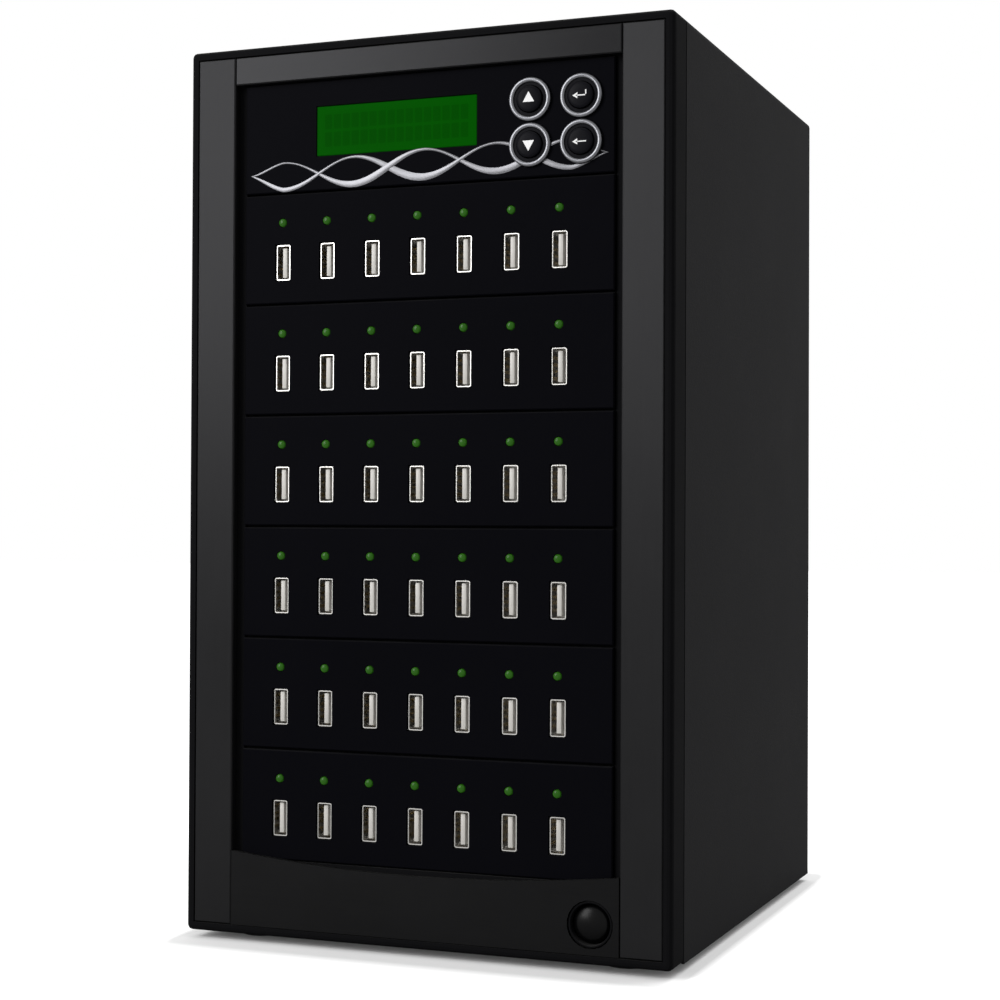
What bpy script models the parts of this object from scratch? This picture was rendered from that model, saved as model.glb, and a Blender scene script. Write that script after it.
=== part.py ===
"""USB flash drive duplicator: a black tower with seven front bays, six of them full of USB sockets.

Metres, +Z up. The front faces -Y and +X is to the right seen from the front. The origin is on the
surface that the feet stand on, under the middle of the whole object.
"""

import math

import bmesh
import bpy
from mathutils import Matrix, Vector

MM = 0.001

# Shared fits
FIT_GAP = 0.3 * MM  # between two pieces that rest on or sit in each other
CUT_OVERRUN = 1 * MM  # how far a cutter runs past the face that it opens
WELD_DEPTH = 0.4 * MM  # how far a boss or can is sunk in the wall that it grows from
MATCH_SHARE = 0.1  # of the gap between pieces, within which two lengths are the same
SMOOTH_ANGLE = math.radians(35)

# Casing
SHEET = 1 * MM
CORNER_RADIUS = 2 * MM
CORNER_STEPS = 3

# Feet
FOOT_RADIUS = 9 * MM
FOOT_TOP_RADIUS = 10 * MM
FOOT_HEIGHT = 2.7 * MM
FOOT_INSET = 22 * MM

# Front bezel
BEZEL_DEPTH = 14 * MM
BEZEL_EDGE_RADIUS = 3 * MM
BEZEL_EDGE_LAND = 0.5 * MM
LIP_WIDTH = 3.2 * MM
LIP_RECESS = 4.2 * MM
TRIM_THICKNESS = 1.5 * MM
POST_WIDTH = 15.3 * MM
TOP_RAIL_HEIGHT = 13.8 * MM
SILL_HEIGHT = 28.1 * MM  # casing's floor to the lowest bay
FASCIA_THICKNESS = 2 * MM
FASCIA_END_RISE = 2.9 * MM  # how far the fascia's ends reach up past the sill
FASCIA_SAG = 4.7 * MM
FASCIA_ARC_STEPS = 16
EDGE_BREAK = 0.4 * MM

# Bays
BAY_PITCH = 41.3 * MM
BAY_COUNT = 7
PANEL_WIDTH = 145.4 * MM
PANEL_GROOVE = 0.8 * MM
PANEL_RECESS = 2.5 * MM
PANEL_THICKNESS = 3 * MM
TAB_THICKNESS = 1.5 * MM
TAB_HEIGHT = 22 * MM
TAB_LENGTH = 26 * MM
BOSS_RADIUS = 2.5 * MM
BOSS_SIDE_INSET = 6 * MM
BOSS_EDGE_INSET = 5.5 * MM
BOSS_SIDES = 6

# USB rows
PORT_COLUMNS = 7
PORT_PITCH_SHARE = 0.1252  # of the panel's width
PORT_ROW_OFFSET = -2.5 * MM  # the row's middle, from the tower's middle plane
PORT_HEIGHT_SHARE = 0.3777  # of the bay's height, from its floor to the sockets' centres
SHELL_WIDTH = 5.7 * MM
SHELL_HEIGHT = 13.1 * MM
SHELL_WALL = 0.35 * MM
SHELL_LENGTH = 14 * MM
SHELL_RECESS = 0.8 * MM  # socket mouth behind the panel's face
SOCKET_DEPTH = 9.2 * MM
TONGUE_THICKNESS = 1.84 * MM
TONGUE_WIDTH = 11.1 * MM
TONGUE_RECESS = 3.6 * MM  # tongue tip behind the socket's mouth
GUIDE_DEPTH = 5.5 * MM
GUIDE_MARGIN = 2.6 * MM
LAMP_HEIGHT_SHARE = 0.7361  # of the bay's height, from its floor to the lamps' centres
LAMP_RADIUS = 1.5 * MM
LAMP_DOME = 0.7 * MM
LAMP_SIDES = 8
BOARD_THICKNESS = 1.6 * MM
BOARD_SIDE_CLEARANCE = 0.8 * MM
BOARD_EDGE_INSET = 3 * MM

# Control panel: shares across are of the panel's width, shares up are of the bay's height
DISPLAY_WIDTH_SHARE = 0.4367
DISPLAY_HEIGHT_SHARE = 0.4358
DISPLAY_OFFSET_SHARE = -0.0781
DISPLAY_RISE_SHARE = 0.54
WINDOW_THICKNESS = 1.6 * MM
WINDOW_RECESS = 0.3 * MM
MODULE_MARGIN_X = 8 * MM
MODULE_MARGIN_Z = 7 * MM
MODULE_THICKNESS = 9 * MM
BUTTON_LEFT_SHARE = 0.2834
BUTTON_PITCH_X_SHARE = 0.132
BUTTON_LOW_SHARE = 0.2833  # lower buttons' centres
BUTTON_PITCH_Z_SHARE = 0.3923
RING_SHARE = 0.4877  # ring radius, of the smaller distance between buttons
RING_BORE_SHARE = 0.62  # of the ring's radius, as are the next three
RING_COLLAR_SHARE = 0.785
BUTTON_FLANGE_SHARE = 0.734
RING_LAND_SHARE = 0.095  # slope from the ring's flat to its edges
RING_STAND = 1.2 * MM
RING_BORE_DROP = 0.4 * MM
RING_COLLAR_LENGTH = 4 * MM
BUTTON_STAND = 0.7 * MM  # cap above its ring
BUTTON_DOME = 0.5 * MM
BUTTON_FLANGE_THICKNESS = 1 * MM
BUTTON_STEM_RADIUS = 1.8 * MM
BUTTON_TRAVEL = 0.8 * MM
BUTTON_STOP_GAP = 0.15 * MM  # between a pressed button's stem and its key switch
KEY_SWITCH_SIDE = 6 * MM
KEY_SWITCH_HEIGHT = 3.5 * MM
KEY_PLUNGER_RADIUS = 1.7 * MM
KEY_PLUNGER_HEIGHT = 0.8 * MM
ROUND_SIDES = 20

# Power button
POWER_INSET = 7.4 * MM  # button centre from the bays' right end
POWER_HEIGHT = 14.1 * MM  # button centre above the casing's floor
POWER_RADIUS = 7 * MM
POWER_DOME = 2 * MM
POWER_LENGTH = 8 * MM
POWER_TRAVEL = 2.5 * MM
POWER_CUP_WALL = 0.9 * MM
POWER_CUP_RECESS = 0.5 * MM
POWER_CUP_CLEARANCE = 1.1 * MM  # behind the pressed button
POWER_CUP_HOLE = 2 * MM
DOME_STEPS = 4

# Chassis
BASE_FLANGE_HEIGHT = 15 * MM
CAGE_DEPTH = 50 * MM
CAGE_CLEARANCE = 4.1 * MM  # between the cage and the power supply
CAGE_THICKNESS = 1.2 * MM
CAGE_FOOT = 12 * MM
COVER_SEAM = 1 * MM
COVER_LIP = 14 * MM

# Fasteners
THUMB_HEAD_RADIUS = 5.5 * MM
THUMB_HEAD_LENGTH = 5 * MM
THUMB_INSET = 7.5 * MM
THUMB_HEIGHT_SHARES = (0.2, 0.8)
THUMB_SHANK_LENGTH = 7 * MM
SHANK_RADIUS = 1.6 * MM
SHANK_SIDES = 8
SCREW_HEAD_RADIUS = 3 * MM
SCREW_HEAD_LENGTH = 1.9 * MM
SCREW_SHANK_LENGTH = 5 * MM
SCREW_SIDES = 12

# Power supply
SUPPLY_SIDE_ROOM = 20 * MM  # casing's side to the power supply
SUPPLY_HEIGHT = 86 * MM
SUPPLY_LENGTH = 140 * MM
SUPPLY_SCREW_INSET = 6.5 * MM
SUPPLY_FAN_SHARE = 0.16  # of the supply's width, from its middle, as is the inlet's
INLET_SHARE = -0.2933
VENT_WIDTH_SHARE = 0.667
VENT_HEIGHT_SHARE = 0.465
INLET_RISE_SHARE = 0.2558  # of the supply's height, above its floor, as is the rocker's
ROCKER_RISE_SHARE = 0.6512
INLET_WIDTH = 27 * MM
INLET_HEIGHT = 20 * MM
INLET_FLANGE = 2 * MM
INLET_FLANGE_THICKNESS = 1.5 * MM
INLET_DEPTH = 20 * MM
INLET_RECESS_WIDTH = 24 * MM
INLET_RECESS_HEIGHT = 16.5 * MM
INLET_RECESS_DEPTH = 16 * MM
INLET_CHAMFER = 4 * MM
PIN_WIDTH = 2 * MM
PIN_HEIGHT = 4 * MM
PIN_SPREAD = 7 * MM
PIN_RISE = 2 * MM  # earth pin above the middle, the two others as far below
PIN_LENGTH = 14 * MM
ROCKER_WIDTH = 13 * MM
ROCKER_HEIGHT = 19 * MM
ROCKER_FRAME_WALL = 1.6 * MM
ROCKER_FRAME_FLANGE = 1.4 * MM
ROCKER_FRAME_DEPTH = 12 * MM
ROCKER_PIVOT_DEPTH = 4.5 * MM
ROCKER_THICKNESS = 5.5 * MM
ROCKER_SWING = math.radians(8)
ROCKER_END_CLEARANCE = 0.9 * MM

# Fans: shares are of the frame's side
FAN_MARGIN = 3 * MM  # over and under the power supply's fan
FAN_WIDTH_SHARE = 0.54  # largest frame side, of the power supply's width
FAN_DEPTH = 25 * MM
FAN_BORE_SHARE = 0.4813
FAN_HOLE_PITCH_SHARE = 0.8938
FAN_HOLE_RADIUS = 2.2 * MM
FAN_HUB_SHARE = 0.2125
BLADE_TIP_SHARE = 0.45
BLADE_CHORD_SHARE = 0.2375
GRILLE_SHARE = 0.475  # air hole in the sheet behind a guard
FAN_HUB_LENGTH = 19 * MM
FAN_HUB_WALL = 1.6 * MM
FAN_DISC_THICKNESS = 3.5 * MM
FAN_STRUT_WIDTH = 4 * MM
FAN_STRUT_COUNT = 4
FAN_SHAFT_RADIUS = 1.5 * MM
FAN_SHAFT_LENGTH = 3 * MM
BLADE_COUNT = 7
BLADE_THICKNESS = 1.3 * MM
BLADE_PITCH = math.radians(38)
GUARD_RING_SHARES = (0.36, 0.66, 0.96)
GUARD_WIRE = 1.6 * MM
GUARD_EYE_INSET = 0.4 * MM  # eyes are thinner than the wire, on both faces
GUARD_SIDES = 24
GUARD_EYE_RADIUS = 4 * MM
CASE_FAN_HEIGHT_SHARE = 0.72

# Sizes and places worked out from the sizes above
EDGE_MARGIN = BEZEL_EDGE_RADIUS + BEZEL_EDGE_LAND
CASE_WIDTH = PANEL_WIDTH + 2 * (FIT_GAP + LIP_WIDTH + POST_WIDTH + EDGE_MARGIN)
SUPPLY_WIDTH = CASE_WIDTH - 2 * SUPPLY_SIDE_ROOM
CASE_HEIGHT = SILL_HEIGHT + BAY_COUNT * BAY_PITCH + TOP_RAIL_HEIGHT
SUPPLY_ROOM = CAGE_DEPTH + CAGE_CLEARANCE + SUPPLY_LENGTH
CASE_DEPTH = BEZEL_DEPTH + SUPPLY_ROOM + 3 * FIT_GAP + 2 * SHEET  # front trims to the cover's rear
CASE_BOTTOM = FOOT_HEIGHT + FIT_GAP
CASE_TOP = CASE_BOTTOM + CASE_HEIGHT
CASE_HALF = CASE_WIDTH / 2
FRONT = -(CASE_DEPTH + FIT_GAP + THUMB_HEAD_LENGTH) / 2
REAR = FRONT + CASE_DEPTH
BEZEL_BACK = FRONT + BEZEL_DEPTH
BAYS_TOP = CASE_TOP - TOP_RAIL_HEIGHT
BAYS_BOTTOM = BAYS_TOP - BAY_COUNT * BAY_PITCH
PANEL_HALF = PANEL_WIDTH / 2
OPENING_HALF = PANEL_HALF + FIT_GAP
LIP_HALF = OPENING_HALF + LIP_WIDTH
PANEL_FACE = FRONT + PANEL_RECESS
PANEL_BACK = PANEL_FACE + PANEL_THICKNESS
PORT_MOUTH = PANEL_FACE + SHELL_RECESS
PORT_BOARD_FRONT = PORT_MOUTH + SHELL_LENGTH
MODULE_FRONT = PANEL_BACK + FIT_GAP
CONTROL_BOARD_FRONT = MODULE_FRONT + MODULE_THICKNESS + FIT_GAP
BASE_TOP = CASE_BOTTOM + SHEET
LINING_HALF = CASE_HALF - SHEET - FIT_GAP  # the base and rear panel, inside the cover
LINING_TOP = CASE_TOP - SHEET - FIT_GAP
LINING_FRONT = BEZEL_BACK + FIT_GAP
REAR_FACE = REAR - SHEET - FIT_GAP  # the rear panel, in front of the cover's lips
REAR_INNER = REAR_FACE - SHEET
SUPPLY_BACK = REAR_INNER - FIT_GAP
SUPPLY_FRONT = SUPPLY_BACK - SUPPLY_LENGTH
SUPPLY_BOTTOM = BASE_TOP + FIT_GAP
SUPPLY_TOP = SUPPLY_BOTTOM + SUPPLY_HEIGHT
SUPPLY_WALL_INNER = SUPPLY_BACK - SHEET
SUPPLY_MIDDLE = SUPPLY_BOTTOM + SUPPLY_HEIGHT / 2
SUPPLY_FAN_X = SUPPLY_WIDTH * SUPPLY_FAN_SHARE
SUPPLY_FAN_CENTRE = Vector((SUPPLY_FAN_X, SUPPLY_WALL_INNER - FIT_GAP, SUPPLY_MIDDLE))
CASE_FAN_CENTRE = Vector((0, SUPPLY_BACK, CASE_BOTTOM + CASE_HEIGHT * CASE_FAN_HEIGHT_SHARE))
INLET_OFFSET = SUPPLY_WIDTH * INLET_SHARE
INLET_CENTRE_Z = SUPPLY_BOTTOM + SUPPLY_HEIGHT * INLET_RISE_SHARE
ROCKER_CENTRE_Z = SUPPLY_BOTTOM + SUPPLY_HEIGHT * ROCKER_RISE_SHARE
FAN_SIDE = min(SUPPLY_HEIGHT - 2 * FAN_MARGIN, SUPPLY_WIDTH * FAN_WIDTH_SHARE)
FAN_BORE_RADIUS = FAN_SIDE * FAN_BORE_SHARE
FAN_HOLE_PITCH = FAN_SIDE * FAN_HOLE_PITCH_SHARE
FAN_HUB_RADIUS = FAN_SIDE * FAN_HUB_SHARE
BLADE_TIP_RADIUS = FAN_SIDE * BLADE_TIP_SHARE
BLADE_CHORD = FAN_SIDE * BLADE_CHORD_SHARE
GRILLE_RADIUS = FAN_SIDE * GRILLE_SHARE
PORT_PITCH = PANEL_WIDTH * PORT_PITCH_SHARE
PORT_HEIGHT = BAY_PITCH * PORT_HEIGHT_SHARE
LAMP_HEIGHT = BAY_PITCH * LAMP_HEIGHT_SHARE
DISPLAY_WIDTH = PANEL_WIDTH * DISPLAY_WIDTH_SHARE
DISPLAY_HEIGHT = BAY_PITCH * DISPLAY_HEIGHT_SHARE
DISPLAY_OFFSET = PANEL_WIDTH * DISPLAY_OFFSET_SHARE
DISPLAY_RISE = BAY_PITCH * DISPLAY_RISE_SHARE
BUTTON_LEFT = PANEL_WIDTH * BUTTON_LEFT_SHARE
BUTTON_PITCH_X = PANEL_WIDTH * BUTTON_PITCH_X_SHARE
BUTTON_LOW = BAY_PITCH * BUTTON_LOW_SHARE
BUTTON_PITCH_Z = BAY_PITCH * BUTTON_PITCH_Z_SHARE
RING_RADIUS = min(BUTTON_PITCH_X, BUTTON_PITCH_Z) * RING_SHARE
RING_BORE = RING_RADIUS * RING_BORE_SHARE
RING_COLLAR_RADIUS = RING_RADIUS * RING_COLLAR_SHARE
BUTTON_FLANGE_RADIUS = RING_RADIUS * BUTTON_FLANGE_SHARE
POWER_OFFSET = PANEL_HALF - POWER_INSET
POWER_CUP_LENGTH = POWER_LENGTH + POWER_TRAVEL + POWER_CUP_CLEARANCE + POWER_CUP_WALL
POWER_CENTRE_Z = CASE_BOTTOM + POWER_HEIGHT
HOLE_RADIUS = SHANK_RADIUS + FIT_GAP


def clear_scene():
    """Remove every object of the startup scene."""
    for thing in list(bpy.data.objects):
        bpy.data.objects.remove(thing, do_unlink=True)


def material(name, colour, roughness, metallic=0.0):
    """A plain Principled material."""
    made = bpy.data.materials.new(name)
    made.use_nodes = True
    shader = made.node_tree.nodes["Principled BSDF"]
    shader.inputs["Base Color"].default_value = (*colour, 1.0)
    shader.inputs["Roughness"].default_value = roughness
    shader.inputs["Metallic"].default_value = metallic
    return made


def box(low, high):
    """A bmesh box between two corners."""
    low = Vector(low)
    high = Vector(high)
    shape = bmesh.new()
    size = Matrix.Diagonal((*(high - low), 1))
    bmesh.ops.create_cube(shape, size=1, matrix=Matrix.Translation((low + high) / 2) @ size)
    return shape


def turned(outline, centre, sides, phase=0.0):
    """A solid turned about the Y line through centre.

    outline is a list of (radius, along Y from centre). It is a closed ring unless it starts and ends
    on the axis, where its radius is zero.
    """
    shape = bmesh.new()
    centre = Vector(centre)
    rows = []
    for radius, along in outline:
        if radius == 0:
            rows.append([shape.verts.new(centre + Vector((0, along, 0)))])
            continue
        row = []
        for side in range(sides):
            angle = phase + side * math.tau / sides
            spot = Vector((radius * math.cos(angle), along, radius * math.sin(angle)))
            row.append(shape.verts.new(centre + spot))
        rows.append(row)
    pairs = list(zip(rows, rows[1:]))
    if outline[0][0] > 0:
        pairs.append((rows[-1], rows[0]))
    for first, second in pairs:
        for side in range(sides):
            after = (side + 1) % sides
            loop = [first[side % len(first)], first[after % len(first)]]
            loop += [second[after % len(second)], second[side % len(second)]]
            shape.faces.new(list(dict.fromkeys(loop)))
    bmesh.ops.recalc_face_normals(shape, faces=shape.faces)
    return shape


def rod(centre, radius, start, end, sides):
    """A cylinder along Y between two y places, on the X and Z of centre."""
    outline = [(0, start), (radius, start), (radius, end), (0, end)]
    return turned(outline, (centre[0], 0, centre[2]), sides, math.pi / sides)


def prism(outline, start, end):
    """A flat outline of (x, z) points, run along Y between two y places."""
    shape = bmesh.new()
    front = [shape.verts.new((x, start, z)) for x, z in outline]
    back = [shape.verts.new((x, end, z)) for x, z in outline]
    shape.faces.new(front)
    shape.faces.new(back)
    count = len(outline)
    for index in range(count):
        after = (index + 1) % count
        shape.faces.new((front[index], front[after], back[after], back[index]))
    bmesh.ops.recalc_face_normals(shape, faces=shape.faces)
    return shape


def moved(shape, offset):
    """The shape, shifted."""
    bmesh.ops.translate(shape, vec=Vector(offset), verts=shape.verts)
    return shape


def gathered(shapes):
    """Several shapes that don't touch, as one bmesh."""
    whole = bmesh.new()
    for shape in shapes:
        part = bpy.data.meshes.new("part")
        shape.to_mesh(part)
        shape.free()
        whole.from_mesh(part)
        bpy.data.meshes.remove(part)
    return whole


def edges_where(shape, test):
    """The edges whose two ends both pass the test."""
    return [edge for edge in shape.edges if all(test(vert.co) for vert in edge.verts)]


def edges_along_depth(shape, lowest):
    """The edges that run straight back, at or above a height."""
    found = []
    for edge in shape.edges:
        first, second = (vert.co for vert in edge.verts)
        level = near(first.x, second.x) and near(first.z, second.z)
        if level and first.z > lowest - FIT_GAP:
            found.append(edge)
    return found


def near(value, target):
    """Whether two lengths are the same, to a small share of the gap between pieces."""
    return abs(value - target) < FIT_GAP * MATCH_SHARE


def rounded(shape, edges, radius, steps):
    """Bevel some edges of a shape."""
    bmesh.ops.bevel(
        shape,
        geom=edges,
        offset=radius,
        segments=steps,
        profile=0.5,
        affect="EDGES",
        clamp_overlap=True,
    )
    return shape


def helper(shape):
    """A short-lived object that a Boolean reads."""
    mesh = bpy.data.meshes.new("helper")
    shape.to_mesh(mesh)
    shape.free()
    made = bpy.data.objects.new("helper", mesh)
    made.hide_render = True
    made.display_type = "WIRE"
    bpy.context.scene.collection.objects.link(made)
    return made


def worked(shape, joins=(), cuts=()):
    """The mesh of a shape after each join, then each cut."""
    base = helper(shape)
    tools = []
    for operation, others in (("UNION", joins), ("DIFFERENCE", cuts)):
        for other in others:
            tool = helper(other)
            tools.append(tool)
            step = base.modifiers.new(operation.lower(), "BOOLEAN")
            step.operation = operation
            step.solver = "EXACT"
            step.object = tool
    bpy.context.view_layer.update()
    graph = bpy.context.evaluated_depsgraph_get()
    mesh = bpy.data.meshes.new_from_object(base.evaluated_get(graph))
    for thing in (base, *tools):
        used = thing.data
        bpy.data.objects.remove(thing, do_unlink=True)
        bpy.data.meshes.remove(used)
    return mesh


def place(name, mesh, finish, location=(0, 0, 0), tilt=0.0):
    """Put a finished mesh in the scene under its own name."""
    if not mesh.materials:
        mesh.name = name
        mesh.materials.append(finish)
        mesh.shade_smooth()
        mesh.set_sharp_from_angle(angle=SMOOTH_ANGLE)
    thing = bpy.data.objects.new(name, mesh)
    thing.location = location
    thing.rotation_euler = (tilt, 0, 0)
    bpy.context.scene.collection.objects.link(thing)
    return thing


def bay_floor(index):
    """Height of a bay's lower end. Bay 0 is the top one."""
    return BAYS_TOP - (index + 1) * BAY_PITCH


def port_places():
    """X of each socket in a row."""
    middle = (PORT_COLUMNS - 1) / 2
    return [PORT_ROW_OFFSET + (column - middle) * PORT_PITCH for column in range(PORT_COLUMNS)]


def button_places():
    """Name and (x, z above the bay's floor) of each control button."""
    right = BUTTON_LEFT + BUTTON_PITCH_X
    high = BUTTON_LOW + BUTTON_PITCH_Z
    return {
        "up": (BUTTON_LEFT, high),
        "down": (BUTTON_LEFT, BUTTON_LOW),
        "enter": (right, high),
        "back": (right, BUTTON_LOW),
    }


def fan_corners(centre):
    """The four screw places of a fan."""
    half = FAN_HOLE_PITCH / 2
    offsets = [Vector((x, 0, z)) for x in (-half, half) for z in (-half, half)]
    return [Vector(centre) + offset for offset in offsets]


def strut_turns():
    """The turn of each fan strut and guard spoke. They point at the frame's corners."""
    half_step = math.pi / FAN_STRUT_COUNT
    angles = [half_step + index * math.tau / FAN_STRUT_COUNT for index in range(FAN_STRUT_COUNT)]
    return [Matrix.Rotation(angle, 3, "Y") for angle in angles]


def supply_screw_places():
    """The four screws that hold the power supply to the rear panel."""
    across = SUPPLY_WIDTH / 2 - SUPPLY_SCREW_INSET
    heights = (SUPPLY_BOTTOM + SUPPLY_SCREW_INSET, SUPPLY_TOP - SUPPLY_SCREW_INSET)
    return [Vector((x, REAR_FACE, z)) for x in (-across, across) for z in heights]


def thumbscrew_places():
    """The four thumbscrews through the cover's rear lips."""
    across = CASE_HALF - THUMB_INSET
    heights = [CASE_BOTTOM + CASE_HEIGHT * share for share in THUMB_HEIGHT_SHARES]
    return [Vector((x, REAR, z)) for x in (-across, across) for z in heights]


def through_hole(centre, radius, sides, start, end):
    """A round cutter along Y that runs past both places."""
    return rod(centre, radius, start - CUT_OVERRUN, end + CUT_OVERRUN, sides)


def make_front_bezel(finish):
    """The moulding behind the trims, with a round edge and a recessed lip round the bays."""
    body = box((-CASE_HALF, FRONT, CASE_BOTTOM), (CASE_HALF, BEZEL_BACK, CASE_TOP))
    rounded(body, edges_along_depth(body, CASE_BOTTOM), CORNER_RADIUS, CORNER_STEPS)
    rounded(body, edges_where(body, lambda spot: near(spot.y, FRONT)), BEZEL_EDGE_RADIUS, CORNER_STEPS)
    before = FRONT - CUT_OVERRUN
    post_pocket = TRIM_THICKNESS + FIT_GAP
    outer = CASE_HALF - EDGE_MARGIN + FIT_GAP
    low = CASE_BOTTOM + EDGE_MARGIN - FIT_GAP
    high = CASE_TOP - EDGE_MARGIN + FIT_GAP
    fascia_floor = FRONT + FASCIA_THICKNESS + FIT_GAP
    cuts = [
        box((-OPENING_HALF, before, BAYS_BOTTOM), (OPENING_HALF, BEZEL_BACK + CUT_OVERRUN, BAYS_TOP)),
        box((-LIP_HALF, before, BAYS_BOTTOM), (LIP_HALF, FRONT + LIP_RECESS, BAYS_TOP)),
        box((-outer, before, low), (outer, FRONT + post_pocket, high)),
        box((-LIP_HALF, before, low), (LIP_HALF, fascia_floor, BAYS_BOTTOM + CUT_OVERRUN)),
        through_hole(
            (POWER_OFFSET, 0, POWER_CENTRE_Z),
            POWER_RADIUS + FIT_GAP + POWER_CUP_WALL + FIT_GAP,
            ROUND_SIDES,
            FRONT,
            BEZEL_BACK,
        ),
    ]
    place("front_bezel", worked(body, cuts=cuts), finish)


def make_post_trims(finish):
    """The two full-height metal strips of the front."""
    low = CASE_BOTTOM + EDGE_MARGIN
    high = CASE_TOP - EDGE_MARGIN
    outer = CASE_HALF - EDGE_MARGIN
    half_width = (outer - LIP_HALF) / 2
    strip = box((-half_width, 0, low), (half_width, TRIM_THICKNESS, high))
    rounded(strip, edges_where(strip, lambda spot: near(spot.y, 0)), EDGE_BREAK, 1)
    mesh = worked(strip)
    centre = (outer + LIP_HALF) / 2
    place("left_post_trim", mesh, finish, (-centre, FRONT, 0))
    place("right_post_trim", mesh, finish, (centre, FRONT, 0))


def make_top_rail_trim(finish):
    """The metal strip over the bays, between the posts."""
    half = LIP_HALF - FIT_GAP
    strip = box((-half, FRONT, BAYS_TOP), (half, FRONT + TRIM_THICKNESS, CASE_TOP - EDGE_MARGIN))
    rounded(strip, edges_where(strip, lambda spot: near(spot.y, FRONT)), EDGE_BREAK, 1)
    place("top_rail_trim", worked(strip), finish)


def make_lower_fascia(finish):
    """The plate under the bays. Its upper edge sinks in a shallow arc."""
    half = LIP_HALF - FIT_GAP
    low = CASE_BOTTOM + EDGE_MARGIN
    ends = BAYS_BOTTOM + FASCIA_END_RISE
    outline = [(half, low)]
    for step in range(FASCIA_ARC_STEPS + 1):
        across = 1 - 2 * step / FASCIA_ARC_STEPS
        outline.append((half * across, ends - FASCIA_SAG * (1 - across * across)))
    outline.append((-half, low))
    plate = prism(outline, FRONT, FRONT + FASCIA_THICKNESS)
    hole = through_hole(
        (POWER_OFFSET, 0, POWER_CENTRE_Z),
        POWER_RADIUS + FIT_GAP + POWER_CUP_WALL + FIT_GAP,
        ROUND_SIDES,
        FRONT,
        FRONT + FASCIA_THICKNESS,
    )
    place("lower_fascia", worked(plate, cuts=[hole]), finish)


def make_wrap_cover(finish):
    """The sheet over the top and both sides, with lips folded in at the rear."""
    front = BEZEL_BACK + COVER_SEAM
    body = box((-CASE_HALF, front, CASE_BOTTOM), (CASE_HALF, REAR, CASE_TOP))
    rounded(body, edges_along_depth(body, CASE_TOP), CORNER_RADIUS, CORNER_STEPS)
    inner = CASE_HALF - SHEET
    window = CASE_HALF - COVER_LIP
    below = CASE_BOTTOM - CUT_OVERRUN
    cuts = [
        box((-inner, front - CUT_OVERRUN, below), (inner, REAR - SHEET, CASE_TOP - SHEET)),
        box((-window, REAR - SHEET - CUT_OVERRUN, below), (window, REAR + CUT_OVERRUN, CASE_TOP - COVER_LIP)),
    ]
    cuts += [
        through_hole(spot, HOLE_RADIUS, SHANK_SIDES, REAR - SHEET, REAR) for spot in thumbscrew_places()
    ]
    place("wrap_cover", worked(body, cuts=cuts), finish)


def make_chassis_base(finish):
    """The floor tray with a flange up each side."""
    body = box((-LINING_HALF, LINING_FRONT, CASE_BOTTOM), (LINING_HALF, REAR_FACE, BASE_TOP))
    inner = LINING_HALF - SHEET
    top = CASE_BOTTOM + BASE_FLANGE_HEIGHT
    flange_back = REAR_INNER - FIT_GAP
    flanges = [
        box((low, LINING_FRONT, CASE_BOTTOM), (high, flange_back, top))
        for low, high in ((-LINING_HALF, -inner), (inner, LINING_HALF))
    ]
    place("chassis_base", worked(body, joins=flanges), finish)


def make_feet(finish):
    """Four rubber feet under the base."""
    outline = [(0, 0), (FOOT_RADIUS, 0), (FOOT_TOP_RADIUS, FOOT_HEIGHT), (0, FOOT_HEIGHT)]
    shape = turned(outline, (0, 0, 0), ROUND_SIDES)
    bmesh.ops.rotate(shape, cent=(0, 0, 0), matrix=Matrix.Rotation(math.pi / 2, 3, "X"), verts=shape.verts)
    mesh = worked(shape)
    across = CASE_HALF - FOOT_INSET
    for side, x in (("left", -across), ("right", across)):
        for end, y in (("front", FRONT + FOOT_INSET), ("rear", REAR - FOOT_INSET)):
            place(f"rubber_foot_{end}_{side}", mesh, finish, (x, y, 0))


def make_cage_walls(finish):
    """The two upright plates that the bay panels slide between."""
    start = (OPENING_HALF, LINING_FRONT, BASE_TOP + FIT_GAP)
    back = LINING_FRONT + CAGE_DEPTH
    wall = box(start, (OPENING_HALF + CAGE_THICKNESS, back, LINING_TOP))
    foot = box(start, (OPENING_HALF + CAGE_FOOT, back, BASE_TOP + FIT_GAP + CAGE_THICKNESS))
    mesh = worked(wall, joins=[foot])
    place("right_cage_wall", mesh, finish)
    mirrored = mesh.copy()
    mirrored.transform(Matrix.Scale(-1, 4, (1, 0, 0)))
    mirrored.flip_normals()
    place("left_cage_wall", mirrored, finish)


def make_rear_panel(finish):
    """The rear sheet, with air holes, the mains cut-outs and screw holes."""
    body = box((-LINING_HALF, REAR_INNER, BASE_TOP + FIT_GAP), (LINING_HALF, REAR_FACE, LINING_TOP))
    span = (REAR_INNER, REAR_FACE)
    cuts = [
        through_hole(SUPPLY_FAN_CENTRE, GRILLE_RADIUS, GUARD_SIDES, *span),
        through_hole(CASE_FAN_CENTRE, GRILLE_RADIUS, GUARD_SIDES, *span),
        mains_window(INLET_CENTRE_Z, INLET_WIDTH, INLET_HEIGHT, *span),
        mains_window(ROCKER_CENTRE_Z, rocker_frame_width(), rocker_frame_height(), *span),
    ]
    for spot in supply_screw_places() + thumbscrew_places():
        cuts.append(through_hole(spot, HOLE_RADIUS, SHANK_SIDES, *span))
    place("rear_panel", worked(body, cuts=cuts), finish)


def rocker_frame_width():
    """Outer width of the rocker's frame, without its flange."""
    return ROCKER_WIDTH + 2 * (FIT_GAP + ROCKER_FRAME_WALL)


def rocker_frame_height():
    """Outer height of the rocker's frame, without its flange."""
    return ROCKER_HEIGHT + 2 * (ROCKER_END_CLEARANCE + ROCKER_FRAME_WALL)


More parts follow.
